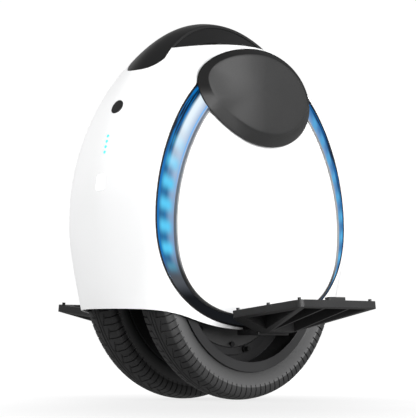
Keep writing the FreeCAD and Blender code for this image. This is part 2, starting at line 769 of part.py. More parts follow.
def pedal():
    """Cast pedal: thin top, deep keel at the hinge, ribs underneath."""
    half, width = PEDAL_HALF, PEDAL_WIDTH
    keel, edge, depth = PEDAL_KEEL_HALF, PEDAL_EDGE, PEDAL_DEPTH
    across = prism_x([(0, 0), (width, 0), (width, -edge), (PEDAL_KEEL, -depth), (0, -depth)], -half, half)
    sides = [(-half, 0), (half, 0), (half, -edge), (keel, -depth), (-keel, -depth), (-half, -edge)]
    along = prism_y(sides, 0, width)
    plan = rounded_block((-half, half), (0, width), (-depth - OVERRUN, OVERRUN), PEDAL_CORNER, (0, 0, 1))
    casting = across.common(along).common(plan)
    for pocket in pedal_pockets():
        casting = casting.cut(pocket)
    casting = casting.cut(mat_block(FIT, -MAT_RECESS, OVERRUN))
    casting = tilted(casting)
    half_gap = LUG_INNER - FIT
    span = (-LUG_INNER - LUG_WIDTH - PIN_HEAD - FIT, LUG_INNER + LUG_WIDTH + PIN_HEAD + FIT)
    clear = rod((span[0], HINGE_Y, HINGE_Z), (1, 0, 0), LUG_RADIUS + FIT, span[1] - span[0])
    foot = block((-FOOT_HALF - FIT, FOOT_HALF + FIT), (0, FOOT_OUT + FIT), (0, HINGE_Z))
    casting = casting.cut(clear).cut(foot)
    knuckle = rod((-half_gap, HINGE_Y, HINGE_Z), (1, 0, 0), KNUCKLE_RADIUS, 2 * half_gap)
    arm = block((-half_gap, half_gap), (HINGE_Y, HINGE_Y + PEDAL_BACK), (HINGE_Z, HINGE_Z + KNUCKLE_RADIUS))
    arm = arm.common(tilted(block((-half, half), (-PEDAL_BACK, width), (-PEDAL_DEPTH, -MAT_RECESS))))
    casting = fuse([casting, arm, knuckle])
    return casting.cut(rod((-half, HINGE_Y, HINGE_Z), (1, 0, 0), PIN_RADIUS + RUN, 2 * half))


def pedal_mat():
    """Grip mat in the pedal's shallow recess."""
    return tilted(mat_block(0, -MAT_RECESS, MAT_PROUD))


def pedal_studs():
    """Grip studs along the pedal's front and rear edges."""
    x = PEDAL_HALF - STUD_INSET
    places = [(sign * x, y) for sign in (1, -1)
              for y in (STUD_INSET, PEDAL_WIDTH / 2, PEDAL_WIDTH - STUD_INSET)]
    return group([tilted(rod((x, y, 0), (0, 0, 1), STUD_RADIUS, STUD_HEIGHT)) for x, y in places])


def pedal_bumper():
    """Bumper on the middle of the pedal's outer edge."""
    high = PEDAL_WIDTH - BUMPER_INSET
    solid = rounded_block((-BUMPER_HALF, BUMPER_HALF), (high - BUMPER_WIDTH, high), (0, BUMPER_HEIGHT),
                          BUMPER_CORNER, (0, 0, 1))
    return tilted(solid)


def shell_openings():
    """Everything that is cut from the shell for the handle, lights, button and socket."""
    button = button_rod(BUTTON_RADIUS + FIT)
    lamps = [lamp_block(HEADLIGHT_Z, HEADLIGHT_WIDTH, HEADLIGHT_HEIGHT, HEADLIGHT_CORNER, FIT, 1)]
    lamps.append(lamp_block(TAIL_Z, TAIL_WIDTH, TAIL_HEIGHT, TAIL_CORNER, FIT, -1))
    radius = CHARGE_LIGHT_RADIUS + LIGHT_FIT
    dots = [rod(place, (1, 0, 0), radius, CROWN.half) for place in charge_light_places()]
    port = rod((-CROWN.half - OVERRUN, 0, PORT_Z), (1, 0, 0), PORT_RADIUS, CROWN.half)
    return [button, port, cap_barrel(FIT), handle_plan(FIT)] + lamps + dots


def shells():
    """Front and rear shell mouldings."""
    opening = egg_prism(grown(BAND_OUTER, FIT), -SHELL_EDGE_Y - OVERRUN, SHELL_EDGE_Y + OVERRUN)
    whole = body(0).cut(body(SHELL_WALL, SHELL_EDGE_Y - FIT)).cut(opening)
    high = CROWN.centre + CROWN.top + OVERRUN
    whole = whole.cut(skirt()).cut(saddle(0, high)).cut(hanger_slot()).cut(mirrored(hanger_slot()))
    reach = (-SHELL_EDGE_Y - OVERRUN, SHELL_EDGE_Y + OVERRUN)
    span = CROWN.half + OVERRUN
    rear = whole.common(block((-span, -SHELL_SPLIT / 2), reach, (0, high)))
    front = rear.mirror(Vector(0, 0, 0), Vector(1, 0, 0))
    for cutter in shell_openings():
        front, rear = front.cut(cutter), rear.cut(cutter)
    return front, rear


def well():
    """Floor of the finger well under the handle."""
    high = CROWN.centre + CROWN.top
    sheet = saddle(WELL_DEPTH + WELL_WALL, high).cut(saddle(WELL_DEPTH, high + OVERRUN))
    inside = body(SHELL_WALL + FIT, SHELL_EDGE_Y - SHELL_WALL)
    between = block((-CROWN.half, CROWN.half), (2 * FIT - TRAY_BACK, TRAY_BACK - 2 * FIT), (0, high))
    return sheet.common(inside).common(between)


def handle():
    """Cover strip and bar of the carry handle."""
    cover = body(0).common(handle_plan(0)).cut(body(HANDLE_COVER))
    high = CROWN.centre + CROWN.top + OVERRUN
    bar = body(HANDLE_COVER + FIT).common(handle_plan(-HANDLE_STEP)).cut(body(HANDLE_DEPTH))
    bar = bar.common(saddle(WELL_DEPTH - FIT, high))
    return cover, bar


def button_frame():
    """Centre and direction of the power button's travel."""
    return Vector(crown_x(BUTTON_Z), 0, BUTTON_Z), crown_normal(BUTTON_Z)


def button_rod(radius):
    """Cylinder along the button's axis, through the shell's wall."""
    centre, normal = button_frame()
    start = centre - normal * (2 * SWITCH_DEPTH)
    return Part.makeCylinder(radius, 2 * SWITCH_DEPTH + OVERRUN, start, normal)


def power_button():
    """Round button with a flange behind the shell's wall."""
    back = SHELL_WALL + FIT
    cap = button_rod(BUTTON_RADIUS).common(body(0)).cut(body(back + BUTTON_FLANGE))
    flange = button_rod(BUTTON_RADIUS + BUTTON_FLANGE).common(body(back)).cut(body(back + BUTTON_FLANGE))
    return fuse([cap, flange])


def switch_housing():
    """Cup behind the shell that leaves room for the button's travel."""
    inside = BUTTON_RADIUS + BUTTON_FLANGE + FIT
    floor = SHELL_WALL + FIT + BUTTON_FLANGE + BUTTON_TRAVEL + FIT
    cup = button_rod(inside + SWITCH_WALL).common(body(SHELL_WALL + FIT)).cut(body(floor + SWITCH_DEPTH))
    return cup.cut(button_rod(inside).cut(body(floor)))


def charge_light_places():
    """Start of each charge light, on the middle plane inside the shell."""
    return [(0, 0, CHARGE_LIGHT_TOP - index * CHARGE_LIGHT_STEP) for index in range(CHARGE_LIGHT_COUNT)]


def charge_lights():
    """Row of small round lights on the front."""
    back = body(SHELL_WALL + CHARGE_LIGHT_RADIUS)
    return group([rod(place, (1, 0, 0), CHARGE_LIGHT_RADIUS, CROWN.half).common(body(0)).cut(back)
                  for place in charge_light_places()])


def lamp_block(z, width, height, corner, margin, sign):
    """Rounded block along X at the front (sign 1) or the rear (sign -1)."""
    reach = sorted((sign * CROWN.half / 2, sign * (CROWN.half + OVERRUN)))
    y = width / 2 + margin
    span = (z - height / 2 - margin, z + height / 2 + margin)
    return rounded_block(reach, (-y, y), span, corner + margin, (1, 0, 0))


def lamp(z, width, height, corner, sign):
    """Lens in the shell's wall and the module behind it."""
    lens = lamp_block(z, width, height, corner, 0, sign).common(body(0)).cut(body(SHELL_WALL))
    module = lamp_block(z, width, height, corner, LAMP_MARGIN, sign)
    module = module.common(body(SHELL_WALL + FIT)).cut(body(LAMP_DEPTH))
    return lens, module


def cap_barrel(margin):
    """Round barrel that the charging cap swings on, at the top of the cap."""
    z = PORT_Z + PORT_RADIUS - 2 * FIT
    half = CAP_BARREL_HALF + margin
    return rod((-crown_x(z), -half, z), (0, 1, 0), CAP_BARREL + margin, 2 * half)


def charge_port():
    """Charging socket behind the rear shell, and its cap."""
    surface = crown_x(PORT_Z)
    face = surface - CAP_THICKNESS - FIT
    core = rod((-face, 0, PORT_Z), (1, 0, 0), PORT_RADIUS - FIT, PORT_DEPTH)
    flange = rod((-surface, 0, PORT_Z), (1, 0, 0), PORT_RADIUS + PORT_FLANGE, SHELL_WALL + 2 * PORT_FLANGE)
    flange = flange.common(body(SHELL_WALL + FIT)).cut(body(SHELL_WALL + PORT_FLANGE))
    mouth = rod((-surface - OVERRUN, 0, PORT_Z), (1, 0, 0), PORT_RADIUS, OVERRUN + surface - face)
    port = fuse([core, flange]).cut(mouth)
    port = port.cut(rod((-face, 0, PORT_Z), (1, 0, 0), SOCKET_RADIUS, SOCKET_DEPTH))
    start = surface - CAP_THICKNESS
    cap = rod((-surface - OVERRUN, 0, PORT_Z), (1, 0, 0), PORT_RADIUS - 2 * FIT, OVERRUN + surface - start)
    cap = cap.common(body(0))
    notch = rod((-surface - OVERRUN, 0, PORT_Z - PORT_RADIUS), (1, 0, 0), CAP_NOTCH, OVERRUN + CAP_THICKNESS)
    return port, fuse([cap.cut(notch), cap_barrel(0)])


def hanger_slot():
    """Room for the hanger plate and its foot at the bottom of the light band."""
    x = (-HANGER_WAIST_HALF - FIT, HANGER_WAIST_HALF + FIT)
    return block(x, (0, HANGER_OUT + FIT), (0, AXLE_Z))


def light_tray():
    """Black tray behind the light band, with a thin outer edge."""
    ring = egg_prism(BAND_OUTER, TRAY_BACK, BAND_OUTER_Y)
    ring = ring.cut(egg_prism(grown(BAND_OUTER, -TRIM_WIDTH), TRAY_BACK + TRAY_WALL, BAND_OUTER_Y + OVERRUN))
    inside = grown(BAND_INNER, -RIM_LINE)
    ring = ring.cut(egg_prism(inside, TRAY_BACK - OVERRUN, BAND_OUTER_Y + OVERRUN))
    return ring.cut(hanger_slot())


def light_lens():
    """Sloping clear band from the tray's edge up to the panel."""
    outer, inner = grown(BAND_OUTER, -TRIM_WIDTH - LIGHT_FIT), grown(BAND_INNER, LIGHT_FIT)
    front = egg_loft([(outer, BAND_OUTER_Y), (inner, LENS_INNER_Y)])
    back = egg_loft([(outer, BAND_OUTER_Y - LENS_THICKNESS), (inner, LENS_INNER_Y - LENS_THICKNESS)])
    middle = egg_prism(inner, BAND_OUTER_Y - OVERRUN, LENS_INNER_Y + OVERRUN)
    return front.cut(back).cut(middle).cut(hanger_slot())


def band_rim():
    """Grey wall between the light band and the panel."""
    low, high = TRAY_BACK + TRAY_WALL, BAND_INNER_Y + RIM_PROUD
    ring = egg_prism(BAND_INNER, low, high)
    ring = ring.cut(egg_prism(grown(BAND_INNER, -RIM_LINE), low - OVERRUN, high + OVERRUN))
    return ring.cut(hanger_slot())


def panel_egg(inset):
    """Outline of the side panel moved inwards."""
    return grown(BAND_INNER, -RIM_LINE - LIGHT_FIT - inset)


def side_panel():
    """White side panel with a softly raised face and a stiffening edge."""
    foot = BAND_INNER_Y - PANEL_EDGE - PANEL_WALL
    edge = BAND_INNER_Y - PANEL_EDGE / 2
    ease = PANEL_FACE - PANEL_CROWN / 4
    sections = [(panel_egg(0), foot), (panel_egg(0), edge), (panel_egg(PANEL_EASE), ease)]
    sections.append((panel_egg(PANEL_FLAT), PANEL_FACE))
    under = PANEL_FACE - PANEL_CROWN - PANEL_WALL / 2
    return egg_loft(sections).cut(egg_prism(panel_egg(PANEL_WALL), foot - OVERRUN, under))


def led_strip():
    """Light strip on the tray: a flat band with a light every few centimetres."""
    middle = Egg(*[(a + b) / 2 for a, b in zip(BAND_OUTER, BAND_INNER)])
    low = TRAY_BACK + TRAY_WALL
    high = low + STRIP_THICKNESS
    tape = egg_prism(grown(middle, STRIP_HALF), low, high)
    tape = tape.cut(egg_prism(grown(middle, -STRIP_HALF), low - OVERRUN, high + OVERRUN))
    wide = middle.half + STRIP_HALF + OVERRUN
    tape = tape.cut(block((-wide, wide), (0, WHOLE_Y), (0, LED_LOWEST)))
    solids = list(tape.Solids)
    half = LED_SIZE / 2
    for point in curve_wire(egg_places(middle), high).discretize(Distance=LED_PITCH)[:-1]:
        if point.z > LED_LOWEST + LED_SIZE:
            solids.append(block((point.x - half, point.x + half), (high, high + LED_HEIGHT),
                                (point.z - half, point.z + half)))
    return solids


def egg_level(egg, x, z):
    """How far out a place is from an egg's centre: 1 on its outline."""
    rise = z - egg.centre
    reach, power = (egg.top, egg.top_power) if rise >= 0 else (egg.bottom, egg.bottom_power)
    return ((abs(x) / egg.half) ** power + (abs(rise) / reach) ** power) ** (1 / power)


def side_y(x, z):
    """How far out the panel, the light band or the shell is at a place."""
    beyond, within = egg_level(BAND_INNER, x, z) - 1, 1 - egg_level(BAND_OUTER, x, z)
    if beyond <= 0:
        return PANEL_FACE
    if within > 0:
        return BAND_INNER_Y + (BAND_OUTER_Y - BAND_INNER_Y) * beyond / (beyond + within)
    reach = math.hypot(x, z - CROWN.centre)
    edge = reach / egg_level(BAND_OUTER, x, z) + SHELL_RIM
    crown = reach / egg_level(CROWN, x, z)
    lift = min(1, max(0, (reach - edge) / (crown - edge)))
    return SHELL_EDGE_Y * (1 - lift ** CROWN_POWER) ** (1 / CROWN_POWER)


def pad_place(x, z, rise, least):
    """Pad point bent round the front of the body, with a least height over it."""
    ease = max(0, (x - PAD_BEND_START) / (PAD_BEND_END - PAD_BEND_START)) ** 2
    free = PANEL_FACE + rise
    bent = free - (PAD_BEND_DROP + PAD_THIN_SHARE * rise) * ease
    drop = free - bent
    for _ in range(PAD_BEND_STEPS):
        level = side_y(x - PAD_BEND_SLIDE * drop, z + PAD_BEND_CLIMB * drop) + least
        drop = free - max(bent, level)
    return Vector(x - PAD_BEND_SLIDE * drop, free - drop, z + PAD_BEND_CLIMB * drop)


def pad_ring(centre, half_length, half_height, rise, least):
    """Places round the pad, narrower towards the front."""
    tilt = math.radians(PAD_TILT)
    points = []
    for index in range(PAD_POINTS):
        angle = 2 * math.pi * index / PAD_POINTS
        across, up = math.cos(angle), math.sin(angle)
        along = half_length * math.copysign(abs(across) ** (2 / PAD_POWER), across)
        up = half_height * math.copysign(abs(up) ** (2 / PAD_POWER), up)
        up *= 1 + PAD_TAPER_SHARE * along / half_length
        x = centre[0] + along * math.cos(tilt) - up * math.sin(tilt)
        z = centre[1] + along * math.sin(tilt) + up * math.cos(tilt)
        points.append(pad_place(x, z, rise, least))
    return points


def ring_wire(points):
    """Closed smooth wire through points."""
    curve = Part.BSplineCurve()
    curve.interpolate(Points=points, PeriodicFlag=True)
    return Part.Wire([curve.toShape()])


def leg_pad():
    """Soft leg pad: drawn-in foot, full side and a crowned face."""
    long, high = PAD_HALF_LENGTH, PAD_HALF_HEIGHT
    face_long, face_high = PAD_FACE_HALF_LENGTH, PAD_FACE_HALF_HEIGHT
    draw, inset = PAD_DRAW_IN, PAD_CROWN_INSET
    side, face = PAD_SIDE_SHARE * PAD_THICKNESS, PAD_FACE_SHARE * PAD_THICKNESS
    base = pad_ring(PAD_CENTRE, long - draw, high - draw, 0, 0)
    rings = [[Vector(point.x, PAD_FOOT_Y, point.z) for point in base], base]
    rings.append(pad_ring(PAD_CENTRE, long, high, side, PAD_SIDE_LEAST))
    rings.append(pad_ring(PAD_FACE_CENTRE, face_long, face_high, face, PAD_FACE_LEAST))
    rings.append(pad_ring(PAD_FACE_CENTRE, face_long - inset, face_high - inset, PAD_THICKNESS, PAD_CROWN_LEAST))
    middle = Part.Vertex(pad_place(*PAD_FACE_CENTRE, PAD_THICKNESS, PAD_CROWN_LEAST))
    pad = Part.makeLoft([ring_wire(ring) for ring in rings] + [middle], True, True)
    return pad.cut(band_room()).cut(body(-FIT, SHELL_EDGE_Y + FIT))


def band_room():
    """Room that the light band and the panel's eased edge take behind the leg pad."""
    foot_y, rim_y = BAND_OUTER_Y + FIT, BAND_INNER_Y + RIM_PROUD + FIT
    sections = [(grown(BAND_OUTER, 2 * FIT), BAND_OUTER_Y - OVERRUN), (grown(BAND_OUTER, FIT), foot_y)]
    sections += [(grown(BAND_INNER, 2 * FIT), rim_y), (panel_egg(0), PANEL_FACE + FIT)]
    seat = egg_prism(panel_egg(PANEL_FLAT + FIT), PANEL_FACE, PANEL_FACE + OVERRUN)
    return egg_loft(sections).cut(seat)


def wheel_arch():
    """Arch over both tyres, with side flanges for the hangers and a ledge to the shell."""
    reach = (-ARCH_HALF, ARCH_HALF)
    span = CROWN.half
    outer = rod((0, -ARCH_HALF, AXLE_Z), (0, 1, 0), ARCH_OUT, 2 * ARCH_HALF)
    room = rod((0, -ARCH_HALF, AXLE_Z), (0, 1, 0), ARCH_IN, 2 * ARCH_HALF)
    above = block((-span, span), reach, (ARCH_LOW, HANGER_TOP))
    inside = body(SHELL_WALL + FIT, SHELL_EDGE_Y - SHELL_WALL)
    arch = outer.common(above)
    ledge = block((-span, span), reach, (ARCH_LOW, ARCH_LOW + ARCH_LEDGE))
    arch = arch.fuse(ledge).common(inside)
    flanges = [block((-FLANGE_HALF, FLANGE_HALF), sorted((sign * ARCH_HALF, sign * (ARCH_HALF - ARCH_WALL))),
                     (FLANGE_FOOT, HANGER_TOP)) for sign in (1, -1)]
    arch = fuse([arch] + flanges + arch_rails()).cut(room)
    for x, z in bolt_places():
        arch = arch.cut(rod((x, -ARCH_HALF, z), (0, 1, 0), BOLT_RADIUS + RUN, 2 * ARCH_HALF))
    return arch


def arch_rails():
    """Rails on the arch that the batteries and the heat sink sit on."""
    rails = []
    seats = [(BATTERY_HALF_LENGTH, BATTERY_HALF_WIDTH, angle) for angle in (BATTERY_ANGLE, -BATTERY_ANGLE)]
    for x, y, angle in seats + [(SINK_HALF_LENGTH, SINK_HALF_WIDTH, 0)]:
        outer = y - RAIL_INSET
        for sign in (1, -1):
            span = sorted((sign * outer, sign * (outer - RAIL_WIDTH)))
            rails.append(round_axle(block((-x, x), span, (AXLE_Z + ARCH_IN - ARCH_WALL, SEAT_Z)), angle))
    return rails


def battery(angle):
    """Battery pack on the arch, turned about the axle."""
    x, y = BATTERY_HALF_LENGTH, BATTERY_HALF_WIDTH
    solid = block((-x, x), (-y, y), (SEAT_Z, SEAT_Z + BATTERY_HEIGHT))
    return round_axle(solid.makeFillet(BATTERY_EDGE, solid.Edges), angle)


def heat_sink():
    """Finned plate on top of the arch."""
    x, y = SINK_HALF_LENGTH, SINK_HALF_WIDTH
    base = block((-x, x), (-y, y), (SEAT_Z, SEAT_Z + SINK_BASE))
    step = (2 * y - SINK_FIN_WIDTH) / (SINK_FIN_COUNT - 1)
    fins = [block((-x, x), (-y + index * step, -y + index * step + SINK_FIN_WIDTH),
                  (SEAT_Z, SEAT_Z + SINK_BASE + SINK_FIN)) for index in range(SINK_FIN_COUNT)]
    return fuse([base] + fins)


def board_low():
    """Underside of the control board."""
    return SEAT_Z + SINK_BASE + SINK_FIN


def control_board():
    """Control board with capacitors and the motor cable's terminal."""
    x, y = SINK_HALF_LENGTH, SINK_HALF_WIDTH
    low = board_low()
    top = low + BOARD_THICKNESS
    pieces = [block((-x, x), (-y, y), (low, top))]
    for share in CAPACITOR_SHARES:
        pieces.append(rod((share * x, 0, low), (0, 0, 1), CAPACITOR_RADIUS, BOARD_THICKNESS + CAPACITOR_HEIGHT))
    pieces.append(block((-TERMINAL_HALF, TERMINAL_HALF), (y - TERMINAL_DEPTH, y), (low, top + TERMINAL_HEIGHT)))
    return fuse(pieces)


def motor_cable():
    """Cable from the axle's end, up the left side, to the control board."""
    start = Vector(0, AXLE_END - AXLE_BORE_LENGTH + FIT, AXLE_Z)
    turn = math.sqrt(0.5)
    low, high = CABLE_BEND, CABLE_TOP_BEND
    out = AXLE_END + low
    level = board_low() + BOARD_THICKNESS + TERMINAL_HEIGHT / 2
    exit_point = Vector(0, AXLE_END, AXLE_Z)
    up_start = Vector(0, out, AXLE_Z + low)
    low_middle = Vector(0, AXLE_END + low * turn, AXLE_Z + low * (1 - turn))
    up_end = Vector(0, out, level - high)
    high_middle = Vector(0, out - high * (1 - turn), level - high * (1 - turn))
    in_start = Vector(0, out - high, level)
    end = Vector(0, SINK_HALF_WIDTH + FIT, level)
    edges = [line(start, exit_point), arc(exit_point, low_middle, up_start), line(up_start, up_end)]
    edges += [arc(up_end, high_middle, in_start), line(in_start, end)]
    section = Part.Wire([Part.makeCircle(CABLE_RADIUS, start, Vector(0, 1, 0))])
    return Part.Wire(edges).makePipeShell([section], True, False)


def build():
    """Every node and its shape."""
    nodes = {}

    def both(name, shape):
        nodes[name + "_left"] = shape
        nodes[name + "_right"] = mirrored(shape)

    screws = cover_screws()
    both("tyre", tyre())
    both("rim", rim())
    both("motor_cover", motor_cover())
    both("hanger", hanger())
    both("pedal", pedal())
    both("pedal_mat", pedal_mat())
    both("pedal_studs", pedal_studs())
    both("pedal_bumper", pedal_bumper())
    both("light_tray", light_tray())
    both("light_lens", light_lens())
    both("band_rim", band_rim())
    both("side_panel", side_panel())
    both("leg_pad", leg_pad())
    for name, shape in (("inner_tubes", tube()), ("valves", valve()), ("bearings", bearing()),
                        ("hinge_pins", hinge_pin()), ("axle_nuts", axle_nut())):
        nodes[name] = group([shape, mirrored(shape)])
    drum = tapped(motor_drum(), cover_screw_places())
    nodes["motor_drum"] = mirrored(tapped(mirrored(drum), cover_screw_places()))
    nodes["magnets"] = magnets()
    nodes["cover_screws"] = group(screws + [mirrored(screw) for screw in screws])
    nodes["axle"] = axle()
    nodes["stator_core"] = stator_core()
    nodes["windings"] = windings()
    bolts = hanger_bolts()
    nodes["hanger_bolts"] = group(bolts + [mirrored(bolt) for bolt in bolts])
    nodes["front_shell"], nodes["rear_shell"] = shells()
    nodes["handle_well"] = well()
    nodes["handle_cover"], nodes["handle_bar"] = handle()
    nodes["power_button"] = power_button()
    nodes["switch_housing"] = switch_housing()
    nodes["charge_lights"] = charge_lights()
    headlight = lamp(HEADLIGHT_Z, HEADLIGHT_WIDTH, HEADLIGHT_HEIGHT, HEADLIGHT_CORNER, 1)
    nodes["headlight_lens"], nodes["headlight_module"] = headlight
    tail = lamp(TAIL_Z, TAIL_WIDTH, TAIL_HEIGHT, TAIL_CORNER, -1)
    nodes["tail_light_lens"], nodes["tail_light_module"] = tail
    nodes["charge_port"], nodes["charge_cap"] = charge_port()
    strip = led_strip()
    nodes["led_strips"] = group(strip + [mirrored(piece) for piece in strip])
    nodes["wheel_arch"] = wheel_arch()
    nodes["battery_front"] = battery(BATTERY_ANGLE)
    nodes["battery_rear"] = battery(-BATTERY_ANGLE)
    nodes["heat_sink"] = heat_sink()
    nodes["control_board"] = control_board()
    nodes["motor_cable"] = motor_cable()
    return nodes


def main():
    """Write one file per node."""
    os.makedirs("parts", exist_ok=True)
    for name, shape in build().items():
        shape.exportStep(os.path.join("parts", name + ".step"))
        print(name, len(shape.Solids), round(shape.Volume), shape.isValid())


if __name__ == "__main__":
    main()
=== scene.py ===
"""Looks of a twin tyre electric unicycle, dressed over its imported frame."""
import json
import logging
import math
from dataclasses import astuple, dataclass, field, replace
from enum import Enum
from typing import Callable, Optional, Sequence

import bmesh
import bpy
from bpy.types import Material, Node, NodeInputs, NodeOutputs, NodeTree, Object
from mathutils import Matrix, Vector


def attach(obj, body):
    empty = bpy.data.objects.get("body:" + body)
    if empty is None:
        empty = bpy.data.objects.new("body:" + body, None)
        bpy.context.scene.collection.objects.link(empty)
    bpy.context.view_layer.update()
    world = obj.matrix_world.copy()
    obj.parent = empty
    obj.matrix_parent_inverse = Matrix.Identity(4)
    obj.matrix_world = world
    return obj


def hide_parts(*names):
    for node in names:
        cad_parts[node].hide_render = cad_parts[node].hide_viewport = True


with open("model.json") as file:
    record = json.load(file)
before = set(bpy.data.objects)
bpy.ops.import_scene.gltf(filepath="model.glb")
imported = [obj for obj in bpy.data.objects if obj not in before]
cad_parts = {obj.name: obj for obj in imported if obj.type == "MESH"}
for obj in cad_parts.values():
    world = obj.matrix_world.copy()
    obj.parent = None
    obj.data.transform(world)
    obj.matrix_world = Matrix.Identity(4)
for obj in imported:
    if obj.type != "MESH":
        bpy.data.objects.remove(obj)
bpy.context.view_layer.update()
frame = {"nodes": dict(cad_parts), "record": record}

LOG = logging.getLogger("unicycle")
MM = 0.001

# a Span is where a step starts and ends, a Course also has the values there
Span = tuple[float, float]
Course = tuple[float, float, float, float]
Colour = tuple[float, float, float]
Place = Callable[[float, float], Vector]
Socket = bpy.types.NodeSocket

WHITE: Colour = (1.0, 1.0, 1.0)
BLACK: Colour = (0.0, 0.0, 0.0)
# sockets of a Mix node that mixes colours
MIX_SHARE, MIX_FIRST, MIX_SECOND, MIX_RESULT = 0, 6, 7, 2


def add_object(name: str, data: bpy.types.ID) -> Object:
    """Makes an object and puts it into the scene."""
    made = bpy.data.objects.new(name, data)
    bpy.context.scene.collection.objects.link(made)
    return made


def look_along(thing: Object, place: Sequence[float], way: Vector) -> None:
    """Puts an object at a place, looking one way."""
    thing.matrix_world = Matrix.LocRotScale(Vector(place), way.to_track_quat("-Z", "Y"), None)


class Side(Enum):
    """Rider's left or right, as the sign of Y."""

    LEFT = 1
    RIGHT = -1

    def point(self, x: float, y: float, z: float) -> Vector:
        """Point on this side in metres, from millimetres."""
        return Vector((x, self.value * y, z)) * MM

    @property
    def word(self) -> str:
        """The side's name in node names."""
        return self.name.lower()


class Body(Enum):
    """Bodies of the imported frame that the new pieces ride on."""

    CHASSIS = "chassis"
    WHEEL = "wheel"


@dataclass(frozen=True)
class Egg:
    """Egg outline in the XZ plane, in millimetres."""

    half: float
    centre: float
    top: float
    bottom: float
    top_power: float
    bottom_power: float

    def grown(self, margin: float) -> "Egg":
        """The outline moved outwards by a margin."""
        return replace(self, half=self.half + margin, top=self.top + margin, bottom=self.bottom + margin)

    def place(self, angle: float) -> tuple[float, float]:
        """Finds the outline's place in a direction from its centre.

        Args:
            angle: direction, anticlockwise from +X.

        Returns:
            x and z of the place.
        """
        across, rise = math.cos(angle), math.sin(angle)
        reach, power = (self.top, self.top_power) if rise >= 0 else (self.bottom, self.bottom_power)
        radius = ((abs(across) / self.half) ** power + (abs(rise) / reach) ** power) ** (-1 / power)
        return radius * across, self.centre + radius * rise

    def level(self, x: float, z: float) -> float:
        """How far out a place is: 1 on the outline, less inside it."""
        rise = z - self.centre
        reach, power = (self.top, self.top_power) if rise >= 0 else (self.bottom, self.bottom_power)
        return ((abs(x) / self.half) ** power + (abs(rise) / reach) ** power) ** (1 / power)


BAND_OUTER = Egg(186.5, 237.0, 222.5, 141.5, 1.9, 2.25)
BAND_INNER = Egg(161.5, 231.0, 199.0, 122.5, 1.8, 2.66)
CROWN = Egg(211.0, 237.0, 272.5, 230.0, 2.0, 4.0)
CROWN_POWER = 1.4
BAND_OUTER_Y = 79.5
BAND_INNER_Y = 91.0
PANEL_FACE_Y = 93.0
SHELL_EDGE_Y = 78.5
SHELL_RIM = 2.5
STRAIGHT = 1e-9


def body_surface_y(x: float, z: float) -> float:
    """How far out the side panel, the light band or the shell's shoulder is at a place.

    Args:
        x: forward place, in millimetres.
        z: height, in millimetres.

    Returns:
        Y of the surface, in millimetres.
    """
    beyond = BAND_INNER.level(x, z) - 1
    within = 1 - BAND_OUTER.level(x, z)
    if beyond <= 0:
        return PANEL_FACE_Y
    if within > 0:
        share = beyond / (beyond + within)
        return BAND_INNER_Y + (BAND_OUTER_Y - BAND_INNER_Y) * share
    reach = math.hypot(x, z - CROWN.centre)
    edge = reach / BAND_OUTER.level(x, z) + SHELL_RIM
    lift = min(1.0, max(0.0, (reach - edge) / (reach / CROWN.level(x, z) - edge)))
    return SHELL_EDGE_Y * (1 - lift ** CROWN_POWER) ** (1 / CROWN_POWER)


